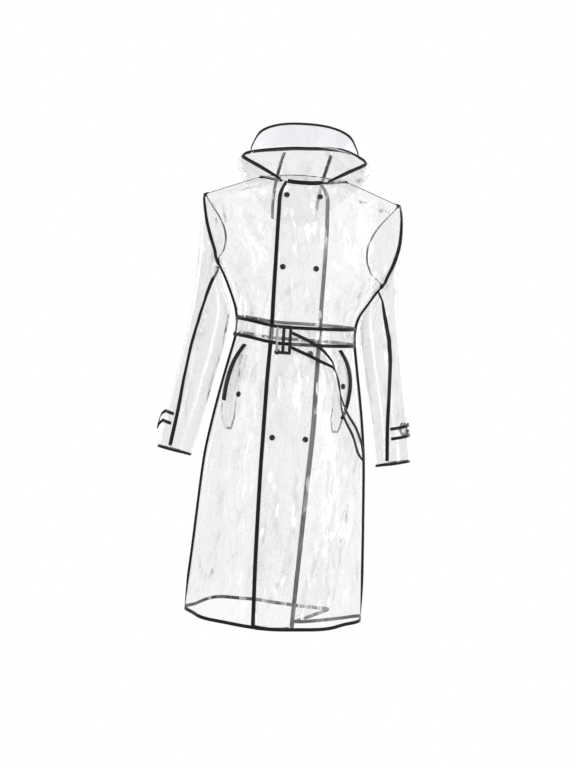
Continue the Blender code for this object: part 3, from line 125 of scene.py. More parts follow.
# ---------------------------------------------------------------- back
# One panel of clear film from side seam to side seam, with the skirt's fullness turned in as one deep fold
# at the wearer's left. The film is calendered, so it is glossy and colourless, and it keeps its crinkles.
def clear_film(name, haze, crumpling, pale="CBCDD0", dull="B2B4B8"):
    """Calendered clear PVC: glossy and colourless, hazy where it is crumpled. Bent film takes flat facets, broad
    and fine ones drawn out by hanging, each with its own haze. Painted highlights lie on some fine facets as
    white glints, and painted shade lies as grey lines along the pressed creases and the folds between facets; the
    same grey draws the pockets' sewn seams."""
    broad_facet, fine_facet, fold_apart, crinkle, cloud = 0.046, 0.012, 0.027, 0.036, 0.095
    material, tree = new_material(name)
    place = add_node(tree, "ShaderNodeTexCoord").outputs["Object"]
    hanging = add_node(tree, "ShaderNodeMapping", inputs={
        "Vector": place, "Rotation": (0.0, math.radians(9.0), 0.0), "Scale": (1.0, 1.0, 0.42)}).outputs[0]
    stray = add_node(tree, "ShaderNodeTexNoise", inputs={
        "Vector": hanging, "Scale": 1.0 / 0.050, "Detail": 2.0}).outputs["Color"]
    bent = add_node(tree, "ShaderNodeVectorMath", {"operation": "MULTIPLY_ADD"}, {
        0: stray, 1: (0.034, 0.034, 0.034), 2: hanging}).outputs[0]
    broad = add_node(tree, "ShaderNodeTexVoronoi", inputs={"Vector": bent, "Scale": 1.0 / broad_facet})
    drawn = add_node(tree, "ShaderNodeMapping", inputs={
        "Vector": place, "Rotation": (0.0, math.radians(-14.0), 0.0), "Scale": (1.0, 1.0, 0.30)}).outputs[0]
    drawn = add_node(tree, "ShaderNodeVectorMath", {"operation": "MULTIPLY_ADD"}, {
        0: stray, 1: (0.012, 0.012, 0.012), 2: drawn}).outputs[0]
    fine = add_node(tree, "ShaderNodeTexVoronoi", {"feature": "SMOOTH_F1"}, {
        "Vector": drawn, "Scale": 1.0 / fine_facet, "Smoothness": 0.35})
    folds = add_node(tree, "ShaderNodeTexVoronoi", {"feature": "DISTANCE_TO_EDGE"}, {
        "Vector": bent, "Scale": 1.0 / fold_apart})
    crumple = add_node(tree, "ShaderNodeTexNoise", inputs={
        "Vector": hanging, "Scale": 1.0 / crinkle, "Detail": 1.5, "Distortion": 0.8}).outputs[0]
    cloudy = add_node(tree, "ShaderNodeTexNoise", inputs={
        "Vector": place, "Scale": 1.0 / cloud, "Detail": 2.0}).outputs[0]

    bump = add_node(tree, "ShaderNodeBump", inputs={
        "Strength": 0.35 + 0.45 * crumpling, "Distance": 0.0040, "Height": crumple})
    bump = add_node(tree, "ShaderNodeBump", inputs={
        "Strength": 0.25 + 0.35 * crumpling, "Distance": 0.0060, "Height": broad.outputs["Distance"],
        "Normal": bump.outputs[0]})
    bump = add_node(tree, "ShaderNodeBump", inputs={
        "Strength": 0.15, "Distance": 0.0010, "Height": fine.outputs["Distance"], "Normal": bump.outputs[0]})
    facing = add_node(tree, "ShaderNodeLayerWeight", inputs={
        "Blend": 0.5, "Normal": bump.outputs[0]}).outputs[1]
    edge_on = add_node(tree, "ShaderNodeMath", {"operation": "POWER"}, {0: facing, 1: 3.0}).outputs[0]

    crumpled = add_node(tree, "ShaderNodeMapRange", inputs={
        0: cloudy, 1: 0.42, 2: 0.60, 3: 0.25 * crumpling, 4: crumpling}).outputs[0]
    # Painted highlight: white glints on some of the fine facets, where the film is crumpled.
    glint = add_node(tree, "ShaderNodeMapRange", inputs={
        0: fine.outputs["Color"], 1: 0.64, 2: 0.80, 3: 0.0, 4: 0.62}).outputs[0]
    glint = add_node(tree, "ShaderNodeMath", {"operation": "MULTIPLY"}, {0: glint, 1: crumpled}).outputs[0]
    # The crease attribute holds painted shade along the pressed creases, and the pockets' sewn seam lines; the
    # fine facets break it up.
    pressed = add_node(tree, "ShaderNodeAttribute", {"attribute_name": "crease"}).outputs["Fac"]
    broken = add_node(tree, "ShaderNodeMapRange", inputs={
        0: fine.outputs["Color"], 1: 0.35, 2: 0.60, 3: 1.1, 4: 0.15}).outputs[0]
    pressed = add_node(tree, "ShaderNodeMath", {"operation": "MULTIPLY"}, {0: pressed, 1: broken}).outputs[0]
    # Painted shade: grey lines along the folds between the broad facets, where the film is crumpled.
    line = add_node(tree, "ShaderNodeMapRange", inputs={
        0: folds.outputs["Distance"], 1: 0.0, 2: 0.055, 3: 0.24, 4: 0.0}).outputs[0]
    line = add_node(tree, "ShaderNodeMath", {"operation": "MULTIPLY"}, {0: line, 1: crumpled}).outputs[0]
    dark = add_node(tree, "ShaderNodeMath", {"operation": "ADD", "use_clamp": True}, {
        0: pressed, 1: line}).outputs[0]

    share = add_node(tree, "ShaderNodeMapRange", inputs={
        0: broad.outputs["Color"], 1: 0.2, 2: 0.8, 3: 0.7 * haze, 4: 1.3 * haze}).outputs[0]
    smooth = add_node(tree, "ShaderNodeAttribute", {"attribute_name": "smooth"}).outputs["Fac"]
    smooth = add_node(tree, "ShaderNodeMath", {"operation": "SUBTRACT"}, {0: 1.0, 1: smooth}).outputs[0]
    share = add_node(tree, "ShaderNodeMath", {"operation": "MULTIPLY"}, {0: share, 1: smooth}).outputs[0]
    share = add_node(tree, "ShaderNodeMath", {"operation": "MULTIPLY_ADD"}, {
        0: edge_on, 1: 0.17, 2: share}).outputs[0]
    share = add_node(tree, "ShaderNodeMath", {"operation": "MULTIPLY_ADD"}, {
        0: dark, 1: 0.75, 2: share}).outputs[0]
    share = add_node(tree, "ShaderNodeMath", {"operation": "ADD", "use_clamp": True}, {
        0: share, 1: glint}).outputs[0]
    tone = add_node(tree, "ShaderNodeMix", {"data_type": "RGBA"}, {
        "Factor": cloudy, "A": linear(dull), "B": linear(pale)}).outputs["Result"]
    # Painted shade darkens the tone towards grey.
    tone = add_node(tree, "ShaderNodeMix", {"data_type": "RGBA"}, {
        "Factor": dark, "A": tone, "B": linear("3E4043")}).outputs["Result"]
    # The painted glints whiten the tone.
    glow = add_node(tree, "ShaderNodeMath", {"operation": "MULTIPLY", "use_clamp": True}, {
        0: glint, 1: 1.6}).outputs[0]
    tone = add_node(tree, "ShaderNodeMix", {"data_type": "RGBA"}, {
        "Factor": glow, "A": tone, "B": linear("FFFFFF")}).outputs["Result"]
    gloss = add_node(tree, "ShaderNodeBsdfPrincipled", inputs={
        "Base Color": tone, "Roughness": 0.16, "IOR": 1.54, "Specular IOR Level": 1.0, "Coat Weight": 1.0,
        "Coat Roughness": 0.06, "Normal": bump.outputs[0]})
    clear = add_node(tree, "ShaderNodeBsdfTransparent", inputs={"Color": (0.985, 0.986, 0.988, 1.0)})
    surface = add_node(tree, "ShaderNodeMixShader", inputs={0: share, 1: clear.outputs[0], 2: gloss.outputs[0]})
    add_node(tree, "ShaderNodeOutputMaterial", inputs={"Surface": surface.outputs[0]})
    return material


film = clear_film("calendered_clear_pvc", 0.09, 1.0)


def select_only(piece):
    bpy.ops.object.select_all(action="DESELECT")
    piece.select_set(True)
    bpy.context.view_layer.objects.active = piece


def merged_copy(node, name):
    """A copy of a node's solid, with its loose triangles joined."""
    piece = bpy.data.objects.new(name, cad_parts[node].data.copy())
    bpy.context.scene.collection.objects.link(piece)
    select_only(piece)
    bpy.ops.object.mode_set(mode="EDIT")
    bpy.ops.mesh.select_all(action="SELECT")
    bpy.ops.mesh.remove_doubles(threshold=0.00002)
    bpy.ops.object.mode_set(mode="OBJECT")
    piece.data.materials.clear()
    return piece


CUT_EDGE = 0.0016                 # the solids' cut edges are narrower than this


def keep_skin(piece, outward, thickest=0.0024, turn=-0.2, tube=False):
    """Drops the solid's inner skin and cut edges. outward gives the way out of the coat at a point, thickest is
    the most that may lie between the two skins, and turn is the cosine of the sharpest bend that the skin goes
    round. A tube's cut edges are told by their width, because they turn too tightly at the armhole's foot."""
    cloth = bmesh.new()
    cloth.from_mesh(piece.data)
    cloth.faces.ensure_lookup_table()
    tree = BVHTree.FromBMesh(cloth)
    skin = set()
    for face in cloth.faces:
        start = face.calc_center_median() - face.normal * 0.00002
        cut_edge = tube and min(edge.calc_length() for edge in face.edges) < CUT_EDGE
        if not cut_edge and tree.ray_cast(start, -face.normal, thickest)[0] is not None:
            skin.add(face.index)
    groups, waiting = [], set(skin)
    while waiting:
        first = waiting.pop()
        group, unspread = {first}, [first]
        while unspread:
            face = cloth.faces[unspread.pop()]
            for edge in face.edges:
                for other in edge.link_faces:
                    if other.index in waiting and face.normal.dot(other.normal) > turn:
                        waiting.discard(other.index)
                        group.add(other.index)
                        unspread.append(other.index)
        groups.append(group)

    def facing_out(group):
        faces = [cloth.faces[i] for i in group]
        return sum(face.calc_area() * face.normal.dot(outward(face.calc_center_median())) for face in faces)

    best = max(groups, key=facing_out)
    bmesh.ops.delete(cloth, geom=[f for f in cloth.faces if f.index not in best], context="FACES")
    if tube:
        bmesh.ops.holes_fill(cloth, edges=[e for e in cloth.edges if e.is_boundary], sides=10)
    bmesh.ops.join_triangles(cloth, faces=cloth.faces[:], angle_face_threshold=math.radians(70.0),
                             angle_shape_threshold=math.radians(70.0))
    cloth.to_mesh(piece.data)
    cloth.free()
    return piece


def rim_of(mesh):
    """The open edge of a skin, as pairs of points."""
    uses = np.zeros(len(mesh.edges), np.int32)
    loops = np.empty(len(mesh.loops), np.int32)
    mesh.loops.foreach_get("edge_index", loops)
    np.add.at(uses, loops, 1)
    ends = np.empty(len(mesh.edges) * 2, np.int32)
    mesh.edges.foreach_get("vertices", ends)
    return ends.reshape(-1, 2)[uses == 1]


def nearest_on_rim(points, *films):
    """The nearest place on the films' open edges to each point."""
    starts, steps = [], []
    for piece in films:
        corners = positions(piece.data)
        ends = rim_of(piece.data)
        starts.append(corners[ends[:, 0]])
        steps.append(corners[ends[:, 1]] - corners[ends[:, 0]])
    starts, steps = np.concatenate(starts), np.concatenate(steps)
    places = []
    for point in points:
        along = np.clip(((point - starts) * steps).sum(1) / np.maximum((steps * steps).sum(1), 1e-12), 0.0, 1.0)
        spots = starts + steps * along[:, None]
        places.append(spots[((spots - point) ** 2).sum(1).argmin()])
    return np.array(places)


def positions(mesh):
    values = np.empty(len(mesh.vertices) * 3, np.float64)
    mesh.vertices.foreach_get("co", values)
    return values.reshape(-1, 3)


def put_positions(mesh, points):
    mesh.vertices.foreach_set("co", np.ascontiguousarray(points, np.float32).ravel())
    mesh.update()


def normals(mesh):
    values = np.empty(len(mesh.vertices) * 3, np.float32)
    mesh.vertices.foreach_get("normal", values)
    return values.reshape(-1, 3).astype(np.float64)


def apply_modifier(piece, kind, **settings):
    select_only(piece)
    added = piece.modifiers.new(kind.lower(), kind)
    for key, value in settings.items():
        setattr(added, key, value)
    bpy.ops.object.modifier_apply(modifier=added.name)


def refine(piece, levels, ease=0.5):
    """Rounds the facets. ease is the share that is made up of what the rounding draws in."""
    rounding = {"levels": levels, "render_levels": levels, "boundary_smooth": "PRESERVE_CORNERS"}
    coarse = positions(piece.data)
    trial = piece.copy()
    trial.data = piece.data.copy()
    bpy.context.scene.collection.objects.link(trial)
    apply_modifier(trial, "SUBSURF", **rounding)
    drawn_in = coarse - positions(trial.data)[:len(coarse)]
    bpy.data.objects.remove(trial)
    piece.data.vertices.foreach_set("co", (coarse + ease * drawn_in).ravel())
    apply_modifier(piece, "SUBSURF", **rounding)
    piece.data.polygons.foreach_set("use_smooth", [True] * len(piece.data.polygons))
    piece.data.update()


def eased(share):
    """A share from 0 to 1 that starts and ends softly."""
    return share * share * (3.0 - 2.0 * share)


def mark_points(mesh, name, values):
    """Writes a value at each point, for the film's material to read."""
    mesh.attributes.new(name, "FLOAT", "POINT").data.foreach_set("value", values.astype(np.float32))
    mesh.update()


# axes across, up and through the coat, and the sign of the way out
SEEN_FROM = {"front": (0, 2, 1, -1.0), "back": (0, 2, 1, 1.0), "left": (1, 2, 0, 1.0), "right": (1, 2, 0, -1.0)}
RIM_FADE = 0.013                  # creases die out this near to a sewn edge
STEP_MM, OFF_PANEL_MM = 5.0, 9.0  # a crease is pressed at these steps, and only where it meets the panel
RIM_SHADE = 0.75                   # its painted shade stays visible right up to the sewn edge


def press_creases(piece, creases):
    """Presses listed creases. Each is where it is seen from, its half width and depth in mm, how much painted
    shade it lays on the film, and its path in mm across and up. It runs soft at its ends and uneven along its
    length."""
    mesh = piece.data
    points, out = positions(mesh), normals(mesh)
    rim = np.unique(rim_of(mesh))
    tree = KDTree(len(rim))
    for i in rim:
        tree.insert(points[i], int(i))
    tree.balance()
    fade = eased(np.array([min(1.0, tree.find(p)[2] / RIM_FADE) for p in points]))
    move, painted_crease_shade = np.zeros(len(points)), np.zeros(len(points))
    for number, (view, half_width, depth, dark, path) in enumerate(creases):
        a, b, through, sign = SEEN_FROM[view]
        facing = out[:, through] * sign
        near_side = np.nonzero(facing > -0.15)[0]
        if len(near_side) == 0:
            continue
        flat = points[near_side][:, (a, b)] * 1000.0
        path = np.array(path, float)
        lengths = np.concatenate(([0.0], np.cumsum(np.linalg.norm(np.diff(path, axis=0), axis=1))))
        count = max(4, int(lengths[-1] / STEP_MM))
        t = np.linspace(0.0, lengths[-1], count)
        line = np.stack([np.interp(t, lengths, path[:, k]) for k in (0, 1)], axis=1)
        line[:, 0] += 0.30 * half_width * np.sin(t / 17.0 + number * 1.7)
        hits = [near_side[np.argmin(((flat - p) ** 2).sum(1))] for p in line]
        along = points[hits]
        gap = np.array([np.hypot(*(points[h][[a, b]] * 1000.0 - p)) for h, p in zip(hits, line)])
        share = t / lengths[-1]
        taper = np.sin(np.pi * np.clip(share, 0.02, 0.98)) ** 0.6 * (1.0 + 0.30 * np.sin(share * 9.0 + number))
        taper[gap > OFF_PANEL_MM] = 0.0
        width = 0.001 * half_width
        low, high = along.min(0) - 3.0 * width, along.max(0) + 3.0 * width
        some = np.nonzero(np.all((points > low) & (points < high), axis=1) & (facing > -0.35))[0]
        if len(some) == 0:
            continue
        distance = np.linalg.norm(points[some][:, None, :] - along[None, :, :], axis=2)
        nearest = distance.argmin(1)
        q = distance[np.arange(len(some)), nearest] / width
        move[some] += 0.001 * depth * taper[nearest] * (1.0 - 0.8 * q * q) * np.exp(-q * q)
        # Painted shade along the crease, darkest at its middle line.
        painted_crease_shade[some] = np.maximum(painted_crease_shade[some], dark * taper[nearest] * np.exp(-(q * 1.5) ** 2))
    mesh.vertices.foreach_set("co", (points + out * (move * fade)[:, None]).ravel())
    mark_points(mesh, "crease", painted_crease_shade * np.maximum(fade, RIM_SHADE))


def dress(piece, material, slot, *nodes):
    piece.data.materials.append(material)
    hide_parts(*nodes)
    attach(piece, "root")
    return piece


def away_from_body(point):
    return Vector((point.x, point.y, 0.0))


HEM_LIFT = 0.016                  # how much higher the rear hem hangs at the wearer's right
HEM_LIFT_ACROSS = (-0.205, -0.150, -0.060, 0.070), (0.0, 1.0, 0.85, 0.0)
HEM_LIFT_TOP, HEM_LIFT_RUN = -0.900, 0.150


def settle_hem(points):
    """Lifts the rear hem at the wearer's right, more the nearer the hem."""
    points = points.copy()
    low = np.clip((HEM_LIFT_TOP - points[:, 2]) / HEM_LIFT_RUN, 0.0, 1.0)
    points[:, 2] += HEM_LIFT * np.interp(points[:, 0], *HEM_LIFT_ACROSS) * low * (points[:, 1] > 0.004)
    return points


back = keep_skin(merged_copy("back", "back_film"), away_from_body)
put_positions(back.data, settle_hem(positions(back.data)))
refine(back, 3)
press_creases(back, [
    ("back", 12, -4.0, 0.3, [(-150, -360), (-138, -300), (-120, -235)]),
    ("back", 11, 3.0, 0.2, [(-120, -345), (-112, -290), (-80, -210)]),
    ("back", 12, -3.5, 0.3, [(-75, -350), (-80, -290), (-60, -230)]),
    ("back", 10, -3.0, 0.3, [(-20, -350), (-12, -300), (-18, -250)]),
    ("back", 12, -3.5, 0.3, [(40, -350), (52, -290), (40, -225)]),
    ("back", 12, -4.0, 0.3, [(110, -350), (112, -290), (140, -240)]),
    ("back", 16, -4.0, 0.2, [(-150, -80), (-90, -110), (-30, -120)]),
    ("back", 18, -4.0, 0.2, [(150, -80), (80, -130), (10, -150)]),
    ("back", 15, 3.5, 0.2, [(-120, -140), (-60, -190), (0, -205)]),
    ("back", 12, -4.0, 0.3, [(-120, -400), (-130, -480), (-150, -600)]),
    ("back", 14, -4.5, 0.3, [(-60, -400), (-66, -520), (-70, -700)]),
    ("back", 12, -3.5, 0.3, [(-10, -400), (-14, -500), (-10, -640)]),
    ("back", 13, -4.0, 0.3, [(50, -400), (58, -490), (75, -600)]),
    ("back", 13, -4.0, 0.3, [(105, -400), (125, -490), (140, -580)]),
    ("back", 16, -4.0, 0.3, [(-170, -1040), (-160, -900), (-150, -760)]),
    ("back", 15, 4.0, 0.2, [(-110, -1050), (-105, -930), (-95, -800)]),
    ("back", 16, -4.0, 0.3, [(-40, -1050), (-35, -920), (-42, -780)]),
    ("back", 13, -3.0, 0.3, [(20, -1045), (30, -930), (25, -840)]),
    ("back", 5, -1.5, 0.7, [(160, -690), (150, -850), (136, -1045)]),
])
dress(back, film, "film", "back")


# ---------------------------------------------------------------- fronts
# Two panels of the same film. The wearer's left one lies over the right one, so the overlap down the middle
# is two layers. Both are pulled in by the belt and fall in long soft folds below it.
front_outer = keep_skin(merged_copy("front_outer", "front_outer_film"), away_from_body)
front_under = keep_skin(merged_copy("front_under", "front_under_film"), away_from_body)
CORNER_TOP = -0.013               # the top corner of each free edge is cut round, into the neckline
CORNER_RUN, CORNER_CUT, CORNER_REACH = 0.030, 0.013, 0.045
# how far the under front's free edge swings out, by height
UNDER_BOW = (-1.05, -0.80, -0.60, -0.45, -0.30), (0.0, 0.006, 0.009, 0.004, 0.0)


def round_corner(points, side, free_edge):
    """Moves the top of a front's free edge in towards the panel. side is 1 on the outer front."""
    up = np.clip((points[:, 2] - CORNER_TOP + CORNER_RUN) / CORNER_RUN, 0.0, 1.0)
    inside = np.clip(side * (points[:, 0] - free_edge) / CORNER_REACH, 0.0, 1.0)
    near_edge = (1.0 - inside) ** 1.5 * (points[:, 1] < -0.02)
    points = points.copy()
    points[:, 0] += side * CORNER_CUT * up ** 2.2 * near_edge
    if side < 0.0:
        points[:, 0] += np.interp(points[:, 2], *UNDER_BOW) * near_edge
    return points


FREE_EDGES = {"outer": (1.0, -0.0595), "under": (-1.0, 0.0583)}    # the way into the panel, and x
for panel, name in ((front_outer, "outer"), (front_under, "under")):
    put_positions(panel.data, round_corner(positions(panel.data), *FREE_EDGES[name]))
    refine(panel, 3)
front_creases = [
    ("front", 8, -3.0, 0.9, [(-222, -66), (-212, -95), (-200, -130)]),
    ("front", 9, -3.0, 0.7, [(-200, -60), (-190, -85), (-178, -120)]),
    ("front", 9, -3.0, 0.6, [(-190, -40), (-150, -30), (-110, -20)]),
    ("front", 14, -3.0, 0.2, [(-130, -90), (-110, -130), (-85, -175)]),
    ("front", 14, 3.0, 0.1, [(-160, -170), (-120, -210), (-80, -230)]),
    ("front", 12, -3.0, 0.2, [(-170, -200), (-130, -250), (-90, -265)]),
    ("front", 8, -3.0, 0.8, [(-150, -250), (-135, -300), (-128, -345)]),
    ("front", 7, -2.5, 0.6, [(-122, -280), (-110, -315), (-108, -348)]),
    ("front", 8, -2.0, 0.2, [(-30, -120), (-15, -160), (10, -180)]),
    ("front", 9, 2.0, 0.1, [(-40, -180), (0, -160), (40, -130)]),
    ("front", 8, -2.0, 0.2, [(-45, -300), (-20, -260), (15, -240)]),
    ("front", 7, -2.0, 0.2, [(15, -340), (25, -300), (40, -265)]),
    ("front", 8, -3.0, 1.1, [(120, -40), (140, -48), (165, -44)]),
    ("front", 7, -2.5, 1.2, [(180, -62), (200, -64), (216, -72)]),
    ("front", 9, -3.0, 0.8, [(90, -30), (105, -50), (112, -75)]),
    ("front", 14, -3.5, 0.2, [(95, -100), (120, -140), (160, -150)]),
    ("front", 14, 3.0, 0.1, [(90, -180), (130, -200), (170, -190)]),
    ("front", 11, -3.5, 0.6, [(165, -230), (148, -280), (140, -330)]),
    ("front", 7, -2.5, 0.7, [(120, -280), (118, -310), (112, -348)]),
    ("front", 12, -3.0, 0.2, [(80, -230), (95, -270), (90, -310)]),
    ("front", 8, -3.0, 0.9, [(-118, -405), (-128, -450), (-140, -520)]),
    ("front", 8, -2.5, 0.3, [(-90, -405), (-92, -460), (-98, -520)]),
    ("front", 9, -2.0, 0.2, [(-30, -410), (-36, -500), (-34, -600)]),
    ("front", 9, -2.0, 0.2, [(20, -410), (24, -480), (22, -570)]),
    ("front", 9, -3.0, 0.3, [(80, -410), (86, -470), (90, -560)]),
    ("front", 12, -3.5, 0.2, [(-170, -620), (-160, -700), (-165, -800)]),
    ("front", 14, -3.5, 0.2, [(-110, -600), (-118, -720), (-110, -860)]),
    ("front", 14, 3.5, 0.1, [(-140, -700), (-146, -850), (-150, -1000)]),
    ("front", 9, -3.5, 0.7, [(-205, -900), (-196, -960), (-200, -1020)]),
    ("front", 8, -3.0, 0.6, [(-190, -985), (-170, -960), (-150, -900)]),
    ("front", 10, -2.5, 0.3, [(-95, -1040), (-70, -960), (-50, -900)]),
    ("front", 8, -2.0, 0.3, [(-40, -1050), (-10, -980), (20, -900)]),
    ("front", 10, -2.5, 0.2, [(-20, -700), (-24, -800), (-10, -880)]),
    ("front", 10, -2.0, 0.3, [(20, -680), (26, -780), (20, -860)]),
    ("front", 9, -2.5, 0.3, [(45, -1040), (70, -960), (85, -860)]),
    ("front", 12, -3.0, 0.3, [(100, -620), (108, -740), (104, -860)]),
    ("front", 10, 3.0, 0.2, [(125, -640), (134, -760), (130, -900)]),
    ("front", 10, -3.0, 0.3, [(165, -640), (172, -760), (178, -900)]),
    ("front", 10, -3.0, 0.3, [(110, -1040), (130, -960), (125, -880)]),
    ("front", 12, -3.0, 0.2, [(165, -1040), (178, -980), (172, -920)]),
]
for panel in (front_outer, front_under):
    press_creases(panel, front_creases)
# The film on top is given paler tones than the film under it: painted light, for the glare on the overlap.
outer_film = clear_film("calendered_clear_pvc_on_top", 0.17, 1.0, "DFE0E3", "CBCCD0")
dress(front_outer, outer_film, "film", "front_outer")
still_film = clear_film("calendered_clear_pvc_lying_flat", 0.11, 0.6)
dress(front_under, still_film, "film", "front_under")


# ---------------------------------------------------------------- sleeves
# Each sleeve is cut from one piece of the film and closed by a single seam, so it is a tube. It is set into
# the armhole, bends a little at the elbow and hangs open at the bound cuff.
SLEEVE_Z = (-0.70, -0.62, -0.50, -0.35, -0.24, -0.10, 0.0)     # the tube's middle line
SLEEVE_X = (0.259, 0.252, 0.234, 0.221, 0.215, 0.205, 0.190)
SLEEVE_Y = (0.0, 0.006, 0.022, 0.034, 0.037, 0.020, 0.0)


def away_from_arm(side):
    def outward(point):
        middle_x = side * np.interp(point.z, SLEEVE_Z, SLEEVE_X)
        return Vector((point.x - middle_x, point.y - np.interp(point.z, SLEEVE_Z, SLEEVE_Y), 0.0))
    return outward


CUFF_DROP = 0.008                 # how much lower the rear of each cuff hangs
CUFF_FRONT, CUFF_DEPTH = -0.035, 0.065
CUFF_DROP_TOP, CUFF_DROP_RUN = -0.640, 0.040


def drop_cuff(points):
    points = points.copy()
    rear = np.clip((points[:, 1] - CUFF_FRONT) / CUFF_DEPTH, 0.0, 1.0)
    low = np.clip((CUFF_DROP_TOP - points[:, 2]) / CUFF_DROP_RUN, 0.0, 1.0)
    points[:, 2] -= CUFF_DROP * rear * low
    return points


sleeve_creases = [
    ("front", 7, -2.5, 0.3, [(238, -120), (246, -180), (250, -240)]),
    ("front", 8, 2.5, 0.2, [(228, -180), (236, -250), (240, -320)]),
    ("front", 8, -3.0, 0.3, [(212, -330), (230, -360), (252, -372)]),
    ("front", 7, 2.5, 0.2, [(214, -372), (232, -392), (254, -398)]),
    ("front", 8, -3.0, 0.3, [(216, -420), (236, -418), (258, -430)]),
    ("front", 8, -2.5, 0.3, [(252, -450), (262, -520), (270, -590)]),
    ("front", 7, 2.0, 0.2, [(238, -470), (246, -540), (254, -600)]),
    ("back", 8, -3.0, 0.3, [(196, -140), (210, -200), (222, -270)]),
    ("back", 8, -3.0, 0.3, [(210, -330), (232, -352), (250, -366)]),
    ("back", 8, 2.5, 0.2, [(206, -385), (228, -396), (252, -420)]),
    ("back", 8, -2.5, 0.3, [(226, -440), (240, -510), (256, -590)]),
]
smooth_film = clear_film("calendered_clear_pvc_hanging_smooth", 0.19, 0.3)
sleeves = {}
for name, side in (("left", 1.0), ("right", -1.0)):
    sleeve = keep_skin(merged_copy("sleeve_" + name, "sleeve_film_" + name), away_from_arm(side),
                       turn=0.3, tube=True)
    put_positions(sleeve.data, drop_cuff(positions(sleeve.data)))
    refine(sleeve, 2)
    # The crease down the inside of each sleeve carries painted shade, much darker on the right sleeve.
    inside = ("right" if side > 0.0 else "left", 7, 1.0, 1.3 if side < 0.0 else 0.3,
              [(8, -300), (10, -400), (-2, -520), (-13, -685)])
    press_creases(sleeve, [inside] + [(view, width, depth, dark, [(side * x, z) for x, z in path])
                                      for view, width, depth, dark, path in sleeve_creases])
    sleeves[name] = dress(sleeve, smooth_film, "film", "sleeve_" + name)


# ---------------------------------------------------------------- hood and peak
# Three panels of film sewn to the neckline, with a bound seam on each side of the middle one. With no head
# in it the hood drops behind the neck in an open bag, and its stiffened peak stands over the opening.
HEAD_Y, HEAD_SQUASH = 0.055, 0.35  # the middle of the empty hood, which is flatter than it is wide


def away_from_head(point):
    return Vector((point.x, point.y - HEAD_Y, HEAD_SQUASH * point.z))


def up_and_forward(point):
    return Vector((0.0, -0.3, 1.0))


RIM_X = (0.050, 0.058, 0.083, 0.107, 0.131, 0.150)             # the rim in front, and how far it is let down
RIM_Z = (0.010, 0.011, 0.0175, 0.0245, 0.036, 0.046)
RIM_DROP = (0.017, 0.015, 0.0075, 0.002, 0.0, 0.0)
NECKLINE_Z = -0.012
LEFT_BOW = (0.0, 0.06, 0.10, 0.145), (0.0, 0.006, 0.008, 0.0)  # how far the rim is lifted at the left
BOW_FOOT, BOW_RUN, BOW_REAR = 0.040, 0.020, 0.10
REAR_SWING = 0.015                # how far the hood's rear hangs to the left
SWING_FROM, SWING_RUN = 0.020, 0.045
LEFT_SIDE, LEFT_RUN = 0.150, 0.090


def settle_rim(points):
    """Lets the front of the hood's rim down to the neckline, lifts it a little on the left, and swings the
    rear of the hood to the left."""
    points = points.copy()
    x = np.abs(points[:, 0])
    rim = np.interp(x, RIM_X, RIM_Z)
    height = np.clip((points[:, 2] - NECKLINE_Z) / (rim - NECKLINE_Z), 0.0, 1.1)
    points[:, 2] -= np.interp(x, RIM_X, RIM_DROP) * height * (points[:, 1] < -0.003)
    bow = np.interp(points[:, 0], *LEFT_BOW) * (points[:, 1] < BOW_REAR)
    points[:, 2] += bow * np.clip((points[:, 2] - BOW_FOOT) / BOW_RUN, 0.0, 1.0)
    rear = eased(np.clip((points[:, 1] - SWING_FROM) / SWING_RUN, 0.0, 1.0))
    points[:, 0] += REAR_SWING * rear * np.clip((LEFT_SIDE - points[:, 0]) / LEFT_RUN, 0.0, 1.0)
    return points


slack_film = clear_film("calendered_clear_pvc_hanging_slack", 0.29, 0.4)
SLACK_TOP, SLACK_RUN, SLACK_CLEARING = 0.020, 0.040, 0.6       # behind the neck the hood is less hazy
hood = {}
for part in ("side_left", "side_right", "centre"):
    panel = keep_skin(merged_copy("hood_" + part, "hood_film_" + part), away_from_head, turn=0.3)
    put_positions(panel.data, settle_rim(positions(panel.data)))
    refine(panel, 2)
    press_creases(panel, [
        ("back", 12, -3.0, 0.2, [(-60, 40), (-20, -10), (-30, -60)]),
        ("back", 10, -3.0, 0.2, [(20, 50), (10, 0), (25, -60)]),
        ("left", 9, -3.0, 0.9, [(20, 20), (60, 5), (110, 10)]),
        ("right", 9, -3.0, 0.9, [(20, 20), (60, 5), (110, 10)]),
        ("left", 8, 2.5, 0.3, [(30, 50), (80, 30), (130, 35)]),
        ("right", 8, 2.5, 0.3, [(30, 50), (80, 30), (130, 35)]),
    ])
    behind_neck = np.clip((SLACK_TOP - positions(panel.data)[:, 2]) / SLACK_RUN, 0.0, 1.0)
    mark_points(panel.data, "smooth", SLACK_CLEARING * behind_neck)
    hood[part] = dress(panel, slack_film, "film", "hood_" + part)


PEAK_END, PEAK_END_RUN = 0.114, 0.016
PEAK_END_FORWARD, PEAK_END_DROP = 0.006, 0.013


def drop_peak_ends(points):
    """Carries the two ends of the peak down to the rim that it is sewn to."""
    points = points.copy()
    end = eased(np.clip((np.abs(points[:, 0]) - PEAK_END) / PEAK_END_RUN, 0.0, 1.0))
    points[:, 1] -= PEAK_END_FORWARD * end
    points[:, 2] -= PEAK_END_DROP * end
    return points


stiff_film = clear_film("stiffened_clear_pvc", 0.58, 0.15, "CFCED5", "BAB9C0")
peak = keep_skin(merged_copy("brim", "peak_film"), up_and_forward)
put_positions(peak.data, drop_peak_ends(positions(peak.data)))
refine(peak, 2)
dress(peak, stiff_film, "film", "brim")


